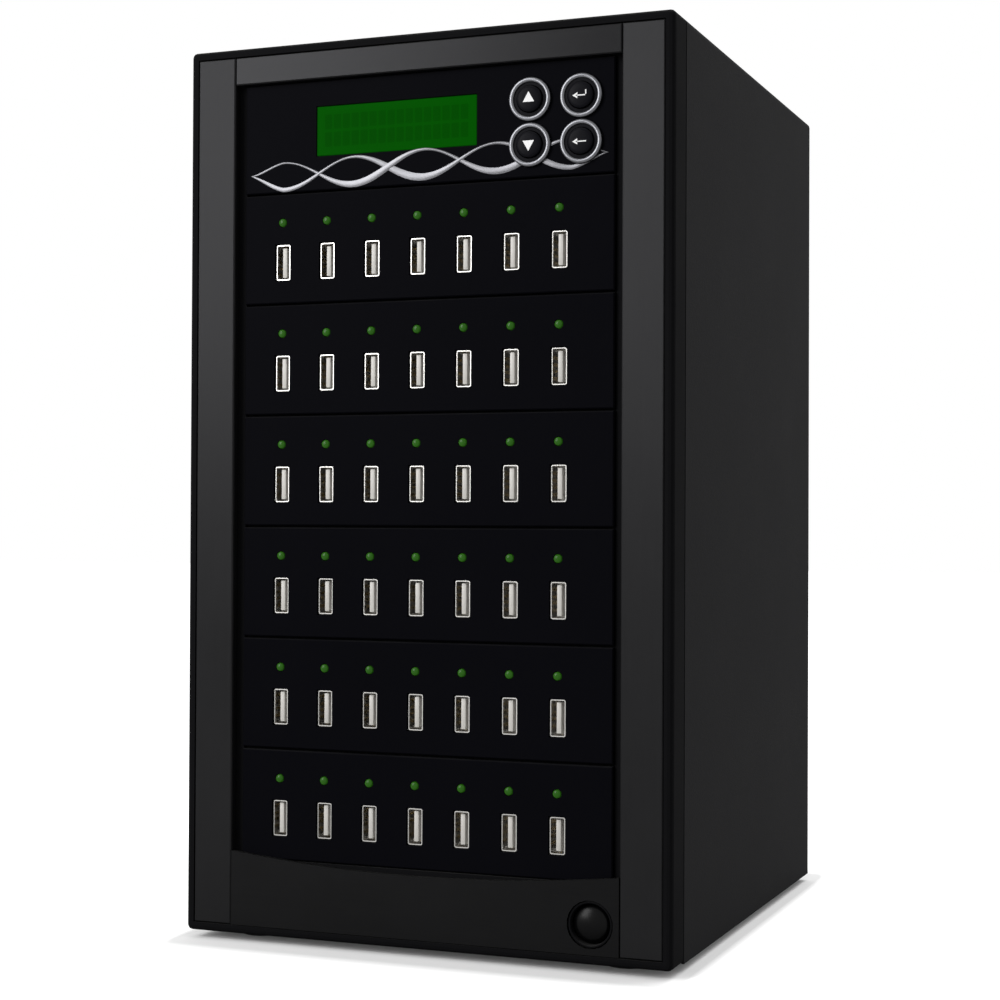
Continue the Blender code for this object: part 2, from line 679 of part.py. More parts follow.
def mains_window(height, width, tall, start, end):
    """A cutter for a mains fitting and its clearance, through one sheet."""
    across = width / 2 + FIT_GAP
    rise = tall / 2 + FIT_GAP
    return box(
        (INLET_OFFSET - across, start - CUT_OVERRUN, height - rise),
        (INLET_OFFSET + across, end + CUT_OVERRUN, height + rise),
    )


def make_supply_case(finish):
    """The power supply's steel box, open at its fan, its mains fittings and its inner vent."""
    half = SUPPLY_WIDTH / 2
    body = box((-half, SUPPLY_FRONT, SUPPLY_BOTTOM), (half, SUPPLY_BACK, SUPPLY_TOP))
    inner = half - SHEET
    hollow = box(
        (-inner, SUPPLY_FRONT + SHEET, SUPPLY_BOTTOM + SHEET),
        (inner, SUPPLY_WALL_INNER, SUPPLY_TOP - SHEET),
    )
    span = (SUPPLY_WALL_INNER, SUPPLY_BACK)
    across = half * VENT_WIDTH_SHARE
    rise = SUPPLY_HEIGHT * VENT_HEIGHT_SHARE / 2
    vent = box(
        (-across, SUPPLY_FRONT - CUT_OVERRUN, SUPPLY_MIDDLE - rise),
        (across, SUPPLY_FRONT + SHEET + CUT_OVERRUN, SUPPLY_MIDDLE + rise),
    )
    cuts = [
        hollow,
        vent,
        through_hole(SUPPLY_FAN_CENTRE, GRILLE_RADIUS, GUARD_SIDES, *span),
        mains_window(INLET_CENTRE_Z, INLET_WIDTH, INLET_HEIGHT, *span),
        mains_window(ROCKER_CENTRE_Z, rocker_frame_width(), rocker_frame_height(), *span),
    ]
    for spot in supply_screw_places():
        cuts.append(through_hole(spot, HOLE_RADIUS, SHANK_SIDES, *span))
    place("psu_case", worked(body, cuts=cuts), finish)


def inlet_outline(width, height, chamfer):
    """A rectangle with its two upper corners cut off, as (x, z) points about its middle."""
    across = width / 2
    rise = height / 2
    return [
        (-across, -rise),
        (across, -rise),
        (across, rise - chamfer),
        (across - chamfer, rise),
        (-across + chamfer, rise),
        (-across, rise - chamfer),
    ]


def make_mains_inlet(finish):
    """The mains inlet with its three pins standing in the recess."""
    face = REAR_FACE + FIT_GAP + INLET_FLANGE_THICKNESS
    centre = (INLET_OFFSET, 0, INLET_CENTRE_Z)
    half = INLET_WIDTH / 2
    rise = INLET_HEIGHT / 2
    body = box((-half, face - INLET_DEPTH, -rise), (half, face, rise))
    flange = box(
        (-half - INLET_FLANGE, face - INLET_FLANGE_THICKNESS, -rise - INLET_FLANGE),
        (half + INLET_FLANGE, face, rise + INLET_FLANGE),
    )
    floor = face - INLET_RECESS_DEPTH
    outline = inlet_outline(INLET_RECESS_WIDTH, INLET_RECESS_HEIGHT, INLET_CHAMFER)
    recess = prism(outline, floor, face + CUT_OVERRUN)
    shell = worked(body, joins=[flange], cuts=[recess])
    pins = []
    for x, z in ((-PIN_SPREAD, -PIN_RISE), (0, PIN_RISE), (PIN_SPREAD, -PIN_RISE)):
        low = (x - PIN_WIDTH / 2, floor - WELD_DEPTH, z - PIN_HEIGHT / 2)
        high = (x + PIN_WIDTH / 2, floor + PIN_LENGTH, z + PIN_HEIGHT / 2)
        pins.append(box(low, high))
    base = bmesh.new()
    base.from_mesh(shell)
    bpy.data.meshes.remove(shell)
    place("mains_inlet", worked(base, joins=[gathered(pins)]), finish, centre)


def make_rocker(frame_finish, rocker_finish):
    """The mains rocker in its frame. It rests with its upper end pressed in."""
    face = REAR_FACE + FIT_GAP + ROCKER_FRAME_FLANGE
    half = rocker_frame_width() / 2
    rise = rocker_frame_height() / 2
    flange = ROCKER_FRAME_FLANGE
    body = box((-half, face - ROCKER_FRAME_DEPTH, -rise), (half, face, rise))
    rim = box((-half - flange, face - flange, -rise - flange), (half + flange, face, rise + flange))
    inner = half - ROCKER_FRAME_WALL
    inner_rise = rise - ROCKER_FRAME_WALL
    well = box(
        (-inner, face - ROCKER_FRAME_DEPTH + ROCKER_FRAME_WALL, -inner_rise),
        (inner, face + CUT_OVERRUN, inner_rise),
    )
    frame = worked(body, joins=[rim], cuts=[well])
    place("rocker_frame", frame, frame_finish, (INLET_OFFSET, 0, ROCKER_CENTRE_Z))
    across = ROCKER_WIDTH / 2
    tall = ROCKER_HEIGHT / 2
    low = -ROCKER_THICKNESS / 2
    high = ROCKER_THICKNESS / 2
    crown = high + tall * math.tan(ROCKER_SWING)
    outline = [(low, -tall), (crown, -tall), (high, 0), (crown, tall), (low, tall)]
    paddle = bmesh.new()
    ends = []
    for x in (-across, across):
        ends.append([paddle.verts.new((x, y, z)) for y, z in outline])
    paddle.faces.new(ends[0])
    paddle.faces.new(ends[1])
    for index in range(len(outline)):
        after = (index + 1) % len(outline)
        paddle.faces.new((ends[0][index], ends[0][after], ends[1][after], ends[1][index]))
    bmesh.ops.recalc_face_normals(paddle, faces=paddle.faces)
    pivot = (INLET_OFFSET, face - ROCKER_PIVOT_DEPTH, ROCKER_CENTRE_Z)
    place("rocker_switch", worked(paddle), rocker_finish, pivot, ROCKER_SWING)


def make_fan(prefix, centre, frame_finish, rotor_finish, guard_finish):
    """An axial fan: its frame, its rotor on the bearing, and the wire guard outside.

    centre is on the fan's axis, at its outer face.
    """
    half = FAN_SIDE / 2
    body = moved(box((-half, -FAN_DEPTH, -half), (half, 0, half)), centre)
    bore = through_hole(centre, FAN_BORE_RADIUS, GUARD_SIDES, centre.y - FAN_DEPTH, centre.y)
    inner = centre.y - FAN_DEPTH
    disc = rod(centre, FAN_HUB_RADIUS, inner, inner + FAN_DISC_THICKNESS, ROUND_SIDES)
    struts = []
    for turn in strut_turns():
        strut = box(
            (0, 0, -FAN_STRUT_WIDTH / 2),
            (FAN_BORE_RADIUS + CUT_OVERRUN, FAN_DISC_THICKNESS, FAN_STRUT_WIDTH / 2),
        )
        bmesh.ops.rotate(strut, cent=(0, 0, 0), matrix=turn, verts=strut.verts)
        struts.append(moved(strut, (centre.x, inner, centre.z)))
    span = (inner, centre.y)
    holes = [through_hole(spot, FAN_HOLE_RADIUS, BOSS_SIDES, *span) for spot in fan_corners(centre)]
    bearing_span = (inner, inner + FAN_DISC_THICKNESS)
    bearing = through_hole(centre, FAN_SHAFT_RADIUS + FIT_GAP, SHANK_SIDES, *bearing_span)
    ring = worked(body, cuts=[bore, *holes])
    shell = bmesh.new()
    shell.from_mesh(ring)
    bpy.data.meshes.remove(ring)
    place(f"{prefix}_fan_frame", worked(shell, joins=[disc, *struts], cuts=[bearing]), frame_finish)

    hub_front = FAN_DISC_THICKNESS + FIT_GAP
    hub = turned(
        [
            (0, hub_front - FAN_SHAFT_LENGTH),
            (FAN_SHAFT_RADIUS, hub_front - FAN_SHAFT_LENGTH),
            (FAN_SHAFT_RADIUS, hub_front),
            (FAN_HUB_RADIUS, hub_front),
            (FAN_HUB_RADIUS, hub_front + FAN_HUB_LENGTH),
            (0, hub_front + FAN_HUB_LENGTH),
        ],
        (0, 0, 0),
        ROUND_SIDES,
    )
    middle = hub_front + FAN_HUB_LENGTH / 2
    blades = []
    for index in range(BLADE_COUNT):
        blade = box(
            (FAN_HUB_RADIUS - FAN_HUB_WALL, -BLADE_THICKNESS / 2, -BLADE_CHORD / 2),
            (BLADE_TIP_RADIUS, BLADE_THICKNESS / 2, BLADE_CHORD / 2),
        )
        turn = Matrix.Rotation(index * math.tau / BLADE_COUNT, 3, "Y")
        pitch = Matrix.Rotation(BLADE_PITCH, 3, "X")
        bmesh.ops.rotate(blade, cent=(0, 0, 0), matrix=turn @ pitch, verts=blade.verts)
        blades.append(moved(blade, (0, middle, 0)))
    place(f"{prefix}_fan_rotor", worked(hub, joins=blades), rotor_finish, (centre.x, inner, centre.z))

    start = REAR_FACE + FIT_GAP
    end = start + GUARD_WIRE
    rings = []
    for share in GUARD_RING_SHARES:
        radius = GRILLE_RADIUS * share
        inside = radius - GUARD_WIRE / 2
        outside = radius + GUARD_WIRE / 2
        outline = [(inside, start + GUARD_WIRE / 2), (outside, start + GUARD_WIRE / 2)]
        outline += [(outside, end + GUARD_WIRE / 2), (inside, end + GUARD_WIRE / 2)]
        rings.append(turned(outline, (centre.x, 0, centre.z), GUARD_SIDES))
    first = GRILLE_RADIUS * GUARD_RING_SHARES[0]
    reach = FAN_HOLE_PITCH / math.sqrt(2)
    spokes = []
    for turn in strut_turns():
        bar = box((first, start, -GUARD_WIRE / 2), (reach, end, GUARD_WIRE / 2))
        bmesh.ops.rotate(bar, cent=(0, 0, 0), matrix=turn, verts=bar.verts)
        spokes.append(moved(bar, (centre.x, 0, centre.z)))
    eye_span = (start + GUARD_EYE_INSET, end - GUARD_EYE_INSET)
    eyes = [rod(spot, GUARD_EYE_RADIUS, *eye_span, SCREW_SIDES) for spot in fan_corners(centre)]
    guard = worked(gathered(rings), joins=[gathered(spokes), gathered(eyes)])
    place(f"{prefix}_fan_guard", guard, guard_finish)


def panel_plate(board_front):
    """A bay panel's plate, side tabs and board bosses, about the bay's floor.

    Returns the plate and the shapes that join it.
    """
    low = PANEL_GROOVE / 2
    high = BAY_PITCH - PANEL_GROOVE / 2
    plate = box((-PANEL_HALF, PANEL_FACE, low), (PANEL_HALF, PANEL_BACK, high))
    rounded(plate, edges_where(plate, lambda spot: near(spot.y, PANEL_FACE)), EDGE_BREAK, 1)
    middle = BAY_PITCH / 2
    start = PANEL_BACK - WELD_DEPTH
    inner = PANEL_HALF - TAB_THICKNESS
    joins = [
        box((left, start, middle - TAB_HEIGHT / 2), (right, PANEL_BACK + TAB_LENGTH, middle + TAB_HEIGHT / 2))
        for left, right in ((-PANEL_HALF, -inner), (inner, PANEL_HALF))
    ]
    across = PANEL_HALF - BOSS_SIDE_INSET
    for x in (-across, across):
        for z in (BOSS_EDGE_INSET, BAY_PITCH - BOSS_EDGE_INSET):
            joins.append(rod((x, 0, z), BOSS_RADIUS, start, board_front - FIT_GAP, BOSS_SIDES))
    return plate, joins


def make_usb_panels(finish):
    """The six panels, each with seven socket slots in a guide bar and seven lamp holes."""
    plate, joins = panel_plate(PORT_BOARD_FRONT)
    slot_width = SHELL_WIDTH / 2 + FIT_GAP
    slot_rise = SHELL_HEIGHT / 2 + FIT_GAP
    places = port_places()
    around = slot_width + GUIDE_MARGIN
    above = slot_rise + GUIDE_MARGIN
    guide = box(
        (places[0] - around, PANEL_BACK - WELD_DEPTH, PORT_HEIGHT - above),
        (places[-1] + around, PANEL_BACK + GUIDE_DEPTH, PORT_HEIGHT + above),
    )
    slots = []
    holes = []
    for x in places:
        slots.append(
            box(
                (x - slot_width, PANEL_FACE - CUT_OVERRUN, PORT_HEIGHT - slot_rise),
                (x + slot_width, PANEL_BACK + GUIDE_DEPTH + CUT_OVERRUN, PORT_HEIGHT + slot_rise),
            )
        )
        spot = (x, 0, LAMP_HEIGHT)
        holes.append(through_hole(spot, LAMP_RADIUS + FIT_GAP, LAMP_SIDES, PANEL_FACE, PANEL_BACK))
    mesh = worked(plate, joins=[*joins, guide], cuts=[gathered(slots), gathered(holes)])
    for row in range(1, BAY_COUNT):
        place(f"usb_panel_{row}", mesh, finish, (0, 0, bay_floor(row)))


def socket_shell():
    """One socket about its own middle: a steel can with a pocket, and the contact tongue in it."""
    half = SHELL_WIDTH / 2
    rise = SHELL_HEIGHT / 2
    can = box((-half, PORT_MOUTH, -rise), (half, PORT_BOARD_FRONT + WELD_DEPTH, rise))
    floor = PORT_MOUTH + SOCKET_DEPTH
    pocket = box(
        (-half + SHELL_WALL, PORT_MOUTH - CUT_OVERRUN, -rise + SHELL_WALL),
        (half - SHELL_WALL, floor, rise - SHELL_WALL),
    )
    tongue = box(
        (-TONGUE_THICKNESS / 2, PORT_MOUTH + TONGUE_RECESS, -TONGUE_WIDTH / 2),
        (TONGUE_THICKNESS / 2, floor + WELD_DEPTH, TONGUE_WIDTH / 2),
    )
    hollow = worked(can, cuts=[pocket])
    base = bmesh.new()
    base.from_mesh(hollow)
    bpy.data.meshes.remove(hollow)
    return worked(base, joins=[tongue])


def make_port_boards(finish):
    """The six boards, each carrying seven sockets and seven lamps."""
    half = PANEL_HALF - TAB_THICKNESS - BOARD_SIDE_CLEARANCE
    board = box(
        (-half, PORT_BOARD_FRONT, BOARD_EDGE_INSET),
        (half, PORT_BOARD_FRONT + BOARD_THICKNESS, BAY_PITCH - BOARD_EDGE_INSET),
    )
    can = socket_shell()
    sockets = []
    lamps = []
    for x in port_places():
        socket = bmesh.new()
        socket.from_mesh(can)
        sockets.append(moved(socket, (x, 0, PORT_HEIGHT)))
        outline = [
            (0, PANEL_FACE - LAMP_DOME),
            (LAMP_RADIUS, PANEL_FACE),
            (LAMP_RADIUS, PORT_BOARD_FRONT + WELD_DEPTH),
            (0, PORT_BOARD_FRONT + WELD_DEPTH),
        ]
        lamps.append(turned(outline, (x, 0, LAMP_HEIGHT), LAMP_SIDES, math.pi / LAMP_SIDES))
    bpy.data.meshes.remove(can)
    mesh = worked(board, joins=[gathered(sockets), gathered(lamps)])
    for row in range(1, BAY_COUNT):
        place(f"usb_port_board_{row}", mesh, finish, (0, 0, bay_floor(row)))


def make_control_panel(finish):
    """The top panel, with the display window's hole and four round button holes."""
    plate, joins = panel_plate(CONTROL_BOARD_FRONT)
    across = DISPLAY_WIDTH / 2 + FIT_GAP
    rise = DISPLAY_HEIGHT / 2 + FIT_GAP
    cuts = [
        box(
            (DISPLAY_OFFSET - across, PANEL_FACE - CUT_OVERRUN, DISPLAY_RISE - rise),
            (DISPLAY_OFFSET + across, PANEL_BACK + CUT_OVERRUN, DISPLAY_RISE + rise),
        )
    ]
    hole = RING_COLLAR_RADIUS + FIT_GAP
    for x, z in button_places().values():
        cuts.append(through_hole((x, 0, z), hole, ROUND_SIDES, PANEL_FACE, PANEL_BACK))
    place("control_panel", worked(plate, joins=joins, cuts=cuts), finish, (0, 0, bay_floor(0)))


def make_display(window_finish, module_finish):
    """The clear window in the panel and the display module behind it."""
    across = DISPLAY_WIDTH / 2
    rise = DISPLAY_HEIGHT / 2
    front = PANEL_FACE + WINDOW_RECESS
    window = box((-across, front, -rise), (across, front + WINDOW_THICKNESS, rise))
    centre = (DISPLAY_OFFSET, 0, bay_floor(0) + DISPLAY_RISE)
    place("lcd_window", worked(window), window_finish, centre)
    glass_front = front + WINDOW_THICKNESS + FIT_GAP
    glass = box((-across, glass_front, -rise), (across, MODULE_FRONT + WELD_DEPTH, rise))
    low = max(-rise - MODULE_MARGIN_Z, PANEL_GROOVE - DISPLAY_RISE)
    high = min(rise + MODULE_MARGIN_Z, BAY_PITCH - PANEL_GROOVE - DISPLAY_RISE)
    body = box(
        (-across - MODULE_MARGIN_X, MODULE_FRONT, low),
        (across + MODULE_MARGIN_X, MODULE_FRONT + MODULE_THICKNESS, high),
    )
    place("lcd_module", worked(body, joins=[glass]), module_finish, centre)


def make_control_board(finish):
    """The logic board with a key switch behind each button."""
    half = PANEL_HALF - TAB_THICKNESS - BOARD_SIDE_CLEARANCE
    board = box(
        (-half, CONTROL_BOARD_FRONT, BOARD_EDGE_INSET),
        (half, CONTROL_BOARD_FRONT + BOARD_THICKNESS, BAY_PITCH - BOARD_EDGE_INSET),
    )
    side = KEY_SWITCH_SIDE / 2
    switch_front = CONTROL_BOARD_FRONT - KEY_SWITCH_HEIGHT
    bodies = []
    plungers = []
    for x, z in button_places().values():
        bodies.append(
            box((x - side, switch_front, z - side), (x + side, CONTROL_BOARD_FRONT + WELD_DEPTH, z + side))
        )
        tip = switch_front - KEY_PLUNGER_HEIGHT
        plungers.append(rod((x, 0, z), KEY_PLUNGER_RADIUS, tip, switch_front + WELD_DEPTH, BOSS_SIDES))
    mesh = worked(board, joins=[gathered(bodies), gathered(plungers)])
    place("control_board", mesh, finish, (0, 0, bay_floor(0)))


def make_buttons(ring_finish, cap_finish):
    """A silver ring and a sprung cap at each button place."""
    ring_back = PANEL_FACE - FIT_GAP
    ring_front = ring_back - RING_STAND
    collar_end = ring_back + RING_COLLAR_LENGTH
    land = RING_RADIUS * RING_LAND_SHARE
    ring = turned(
        [
            (RING_BORE, ring_front + RING_BORE_DROP),
            (RING_BORE + land, ring_front),
            (RING_RADIUS - land, ring_front),
            (RING_RADIUS, ring_back),
            (RING_COLLAR_RADIUS, ring_back),
            (RING_COLLAR_RADIUS, collar_end),
            (RING_BORE, collar_end),
        ],
        (0, 0, 0),
        ROUND_SIDES,
    )
    ring_mesh = worked(ring)
    cap_radius = RING_BORE - FIT_GAP
    cap_front = ring_front - BUTTON_STAND
    flange_front = collar_end + FIT_GAP
    plunger_tip = CONTROL_BOARD_FRONT - KEY_SWITCH_HEIGHT - KEY_PLUNGER_HEIGHT
    stem_end = plunger_tip - BUTTON_TRAVEL - BUTTON_STOP_GAP
    cap = turned(
        [
            (0, 0),
            (cap_radius, BUTTON_DOME),
            (cap_radius, flange_front - cap_front),
            (BUTTON_FLANGE_RADIUS, flange_front - cap_front),
            (BUTTON_FLANGE_RADIUS, flange_front - cap_front + BUTTON_FLANGE_THICKNESS),
            (BUTTON_STEM_RADIUS, flange_front - cap_front + BUTTON_FLANGE_THICKNESS),
            (BUTTON_STEM_RADIUS, stem_end - cap_front),
            (0, stem_end - cap_front),
        ],
        (0, 0, 0),
        ROUND_SIDES,
    )
    cap_mesh = worked(cap)
    for name, (x, z) in button_places().items():
        height = bay_floor(0) + z
        place(f"button_ring_{name}", ring_mesh, ring_finish, (x, 0, height))
        place(f"button_{name}", cap_mesh, cap_finish, (x, cap_front, height))


def make_power_button(cup_finish, button_finish):
    """The glossy power button in its round cup, low on the fascia."""
    bore = POWER_RADIUS + FIT_GAP
    outer = bore + POWER_CUP_WALL
    front = FRONT + POWER_CUP_RECESS
    back = front + POWER_CUP_LENGTH
    cup = turned(
        [
            (bore, front),
            (outer, front),
            (outer, back),
            (POWER_CUP_HOLE, back),
            (POWER_CUP_HOLE, back - POWER_CUP_WALL),
            (bore, back - POWER_CUP_WALL),
        ],
        (0, 0, 0),
        ROUND_SIDES,
    )
    centre = (POWER_OFFSET, 0, POWER_CENTRE_Z)
    place("power_switch", worked(cup), cup_finish, centre)
    dome = []
    for step in range(DOME_STEPS + 1):
        angle = step * math.pi / 2 / DOME_STEPS
        dome.append((POWER_RADIUS * math.sin(angle), POWER_DOME * (1 - math.cos(angle))))
    dome += [(POWER_RADIUS, POWER_LENGTH), (0, POWER_LENGTH)]
    button = turned(dome, (0, 0, 0), ROUND_SIDES)
    place("power_button", worked(button), button_finish, (POWER_OFFSET, FRONT, POWER_CENTRE_Z))


def make_screws(finish, thumb_finish):
    """The power supply's screws and the cover's thumbscrews, heads to the rear."""
    head = FIT_GAP + SCREW_HEAD_LENGTH
    screw = turned(
        [
            (0, head - SCREW_SHANK_LENGTH),
            (SHANK_RADIUS, head - SCREW_SHANK_LENGTH),
            (SHANK_RADIUS, FIT_GAP),
            (SCREW_HEAD_RADIUS, FIT_GAP),
            (SCREW_HEAD_RADIUS - EDGE_BREAK, head),
            (0, head),
        ],
        (0, 0, 0),
        SCREW_SIDES,
    )
    screw_mesh = worked(screw)
    for number, spot in enumerate(supply_screw_places(), 1):
        place(f"psu_screw_{number}", screw_mesh, finish, spot)
    head = FIT_GAP + THUMB_HEAD_LENGTH
    thumb = turned(
        [
            (0, head - THUMB_SHANK_LENGTH - THUMB_HEAD_LENGTH),
            (SHANK_RADIUS, head - THUMB_SHANK_LENGTH - THUMB_HEAD_LENGTH),
            (SHANK_RADIUS, FIT_GAP),
            (THUMB_HEAD_RADIUS, FIT_GAP),
            (THUMB_HEAD_RADIUS, head - EDGE_BREAK),
            (THUMB_HEAD_RADIUS - EDGE_BREAK, head),
            (0, head),
        ],
        (0, 0, 0),
        SCREW_SIDES,
    )
    thumb_mesh = worked(thumb)
    for number, spot in enumerate(thumbscrew_places(), 1):
        place(f"cover_thumbscrew_{number}", thumb_mesh, thumb_finish, spot)


def main():
    """Build the whole duplicator."""
    clear_scene()
    black_plastic = material("black_plastic", (0.018, 0.018, 0.02), 0.5)
    gloss_black = material("gloss_black", (0.01, 0.01, 0.012), 0.12)
    brushed_metal = material("brushed_black_metal", (0.07, 0.07, 0.073), 0.38, 0.9)
    cover_paint = material("black_cover_paint", (0.03, 0.03, 0.032), 0.55)
    panel_black = material("panel_black", (0.008, 0.008, 0.01), 0.45)
    steel = material("zinc_steel", (0.55, 0.56, 0.57), 0.4, 1.0)
    nickel = material("nickel_plate", (0.72, 0.71, 0.68), 0.28, 1.0)
    silver = material("silver_ring", (0.6, 0.61, 0.62), 0.25, 1.0)
    key_black = material("key_black", (0.03, 0.03, 0.033), 0.4)
    rubber = material("black_rubber", (0.015, 0.015, 0.015), 0.85)
    board_green = material("board_green", (0.02, 0.16, 0.06), 0.5)
    window_clear = material("green_window", (0.02, 0.3, 0.015), 0.15)
    display_black = material("display_frame", (0.02, 0.02, 0.02), 0.4, 0.5)
    fan_black = material("fan_black", (0.012, 0.012, 0.012), 0.5)

    make_front_bezel(black_plastic)
    make_post_trims(brushed_metal)
    make_top_rail_trim(brushed_metal)
    make_lower_fascia(brushed_metal)
    make_wrap_cover(cover_paint)
    make_chassis_base(steel)
    make_feet(rubber)
    make_cage_walls(steel)
    make_rear_panel(steel)
    make_supply_case(steel)
    make_mains_inlet(black_plastic)
    make_rocker(black_plastic, gloss_black)
    make_fan("psu", SUPPLY_FAN_CENTRE, fan_black, fan_black, nickel)
    make_fan("case", CASE_FAN_CENTRE, fan_black, fan_black, nickel)
    make_usb_panels(panel_black)
    make_port_boards(nickel)
    make_control_panel(panel_black)
    make_display(window_clear, display_black)
    make_control_board(board_green)
    make_buttons(silver, key_black)
    make_power_button(black_plastic, gloss_black)
    make_screws(nickel, nickel)


main()
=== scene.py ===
"""Looks of a USB flash drive duplicator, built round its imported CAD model.

Metres, +Z up, the front faces -Y. Every piece rides on a body of the CAD model.
"""

import logging
import math
from collections.abc import Callable, Iterator
from contextlib import contextmanager
from dataclasses import dataclass, field
from enum import Enum

import bpy
from mathutils import Matrix, Vector

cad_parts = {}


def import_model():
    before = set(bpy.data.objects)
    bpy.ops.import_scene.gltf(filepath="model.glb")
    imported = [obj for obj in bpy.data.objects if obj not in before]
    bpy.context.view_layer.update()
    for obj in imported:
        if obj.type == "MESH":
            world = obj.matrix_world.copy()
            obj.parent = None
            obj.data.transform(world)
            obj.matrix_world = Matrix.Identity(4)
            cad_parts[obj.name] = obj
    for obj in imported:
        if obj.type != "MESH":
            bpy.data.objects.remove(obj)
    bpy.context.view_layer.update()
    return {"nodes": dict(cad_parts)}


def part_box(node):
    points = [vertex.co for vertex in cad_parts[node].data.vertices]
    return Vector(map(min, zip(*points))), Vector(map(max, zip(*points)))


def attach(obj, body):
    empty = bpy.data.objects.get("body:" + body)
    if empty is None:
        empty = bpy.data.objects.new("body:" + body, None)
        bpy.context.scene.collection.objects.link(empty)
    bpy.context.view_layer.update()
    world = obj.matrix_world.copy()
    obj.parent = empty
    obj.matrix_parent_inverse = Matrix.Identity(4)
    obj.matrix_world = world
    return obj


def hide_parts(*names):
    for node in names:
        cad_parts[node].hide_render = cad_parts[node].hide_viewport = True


LOG = logging.getLogger("duplicator")
MM = 0.001
WELD_DISTANCE = 0.002 * MM  # closer points of a piece are one
ALONG_SHARE = 0.999  # how straight an edge or face has to lie to count as along an axis

DUST_COLOUR = (0.25, 0.245, 0.235, 1.0)
NOISE_SPAN = (0.25, 0.75)  # between which a noise's values mostly lie
LINE_SHARE = 0.6  # of the streaks in a brushed tone, the rest being slow mottle
PORE_SHARE = 0.45  # of the pores in a moulded tone
QUARTER_TURN = 0.25  # as the shader's anisotropic rotation counts it
POWDER_ROUNDNESS = 1.0
MOULDED_ROUNDNESS = 0.5
MIX_SHARE, MIX_FIRST, MIX_SECOND, MIX_RESULT = 0, 6, 7, 2  # the Mix node's sockets for colours

Colour = tuple[float, float, float]
Point = tuple[float, float, float]
Profile = list[tuple[float, float]]


class Body(Enum):
    """The CAD bodies that pieces ride on."""

    CHASSIS = "chassis"
    UP = "up_button"
    DOWN = "down_button"
    ENTER = "enter_button"
    BACK = "back_button"
    POWER = "power_button"
    ROCKER = "rocker_switch"
    SUPPLY_FAN = "psu_fan_rotor"
    CASE_FAN = "case_fan_rotor"


class Grain(Enum):
    """How a finish's surface is textured."""

    SMOOTH = "smooth"
    MOULDED = "moulded"
    POWDER = "powder"
    BRUSHED_UP = "brushed upwards"
    BRUSHED_ACROSS = "brushed across"
    ROLLED = "rolled sheet"


class NodeSheet:
    """A node tree that nodes are put in and linked by short calls."""

    def __init__(self, tree: bpy.types.NodeTree) -> None:
        """Keep the tree.

        Args:
            tree: the node tree to fill.
        """
        self.tree = tree

    def add(self, kind: str, settings: dict | None = None, **inputs: object) -> bpy.types.Node:
        """Add a node, set its options and fill or link its inputs.

        Args:
            kind: the node's type name.
            settings: options of the node itself.
            inputs: socket names, with spaces as underscores, and a value or a socket for each.

        Returns:
            The new node.
        """
        node = self.tree.nodes.new(kind)
        for option, value in (settings or {}).items():
            setattr(node, option, value)
        for name, value in inputs.items():
            self.feed(node, name.replace("_", " "), value)
        return node

    def feed(self, node: bpy.types.Node, name: str | int, value: object) -> None:
        """Fill one input with a value, or link it to a socket.

        Args:
            node: the node.
            name: the input's name or number.
            value: the value, or the socket to link.
        """
        target = node.inputs[name]
        if isinstance(value, bpy.types.NodeSocket):
            self.tree.links.new(value, target)
        else:
            target.default_value = value

    def maths(self, operation: str, first: object, second: object = 0.0) -> bpy.types.NodeSocket:
        """Add a Math node.

        Args:
            operation: the Math node's operation.
            first: its first value or socket.
            second: its second value or socket.

        Returns:
            The result's socket.
        """
        node = self.tree.nodes.new("ShaderNodeMath")
        node.operation = operation
        self.feed(node, 0, first)
        self.feed(node, 1, second)
        return node.outputs[0]

    def ranged(self, value: object, low: object, high: object) -> bpy.types.NodeSocket:
        """Spread a 0 to 1 value over another range.

        Args:
            value: the value or socket to spread.
            low: what 0 becomes.
            high: what 1 becomes.

        Returns:
            The result's socket.
        """
        node = self.add("ShaderNodeMapRange", Value=value, To_Min=low, To_Max=high)
        return node.outputs["Result"]

    def blend(self, share: object, first: object, second: object) -> bpy.types.NodeSocket:
        """Mix two colours.

        Args:
            share: how much of the second colour.
            first: the first colour or socket.
            second: the second colour or socket.

        Returns:
            The mixed colour's socket.
        """
        node = self.tree.nodes.new("ShaderNodeMix")
        node.data_type = "RGBA"
        self.feed(node, MIX_SHARE, share)
        self.feed(node, MIX_FIRST, first)
        self.feed(node, MIX_SECOND, second)
        return node.outputs[MIX_RESULT]

    def weigh(self, first: object, second: object, share: float) -> bpy.types.NodeSocket:
        """Add two values, the second one weighted by its share and the first by the rest."""
        kept = self.maths("MULTIPLY", first, 1 - share)
        return self.maths("ADD", kept, self.maths("MULTIPLY", second, share))

    def noise(
        self, vector: object, scale: object, detail: float, roughness: float = 0.55
    ) -> bpy.types.NodeSocket:
        """Add a noise texture.

        Args:
            vector: the coordinates' socket.
            scale: its scale.
            detail: its detail.
            roughness: how strong its fine detail is.

        Returns:
            The noise value's socket.
        """
        settings = {"Vector": vector, "Scale": scale, "Detail": detail, "Roughness": roughness}
        return self.add("ShaderNodeTexNoise", **settings).outputs[0]


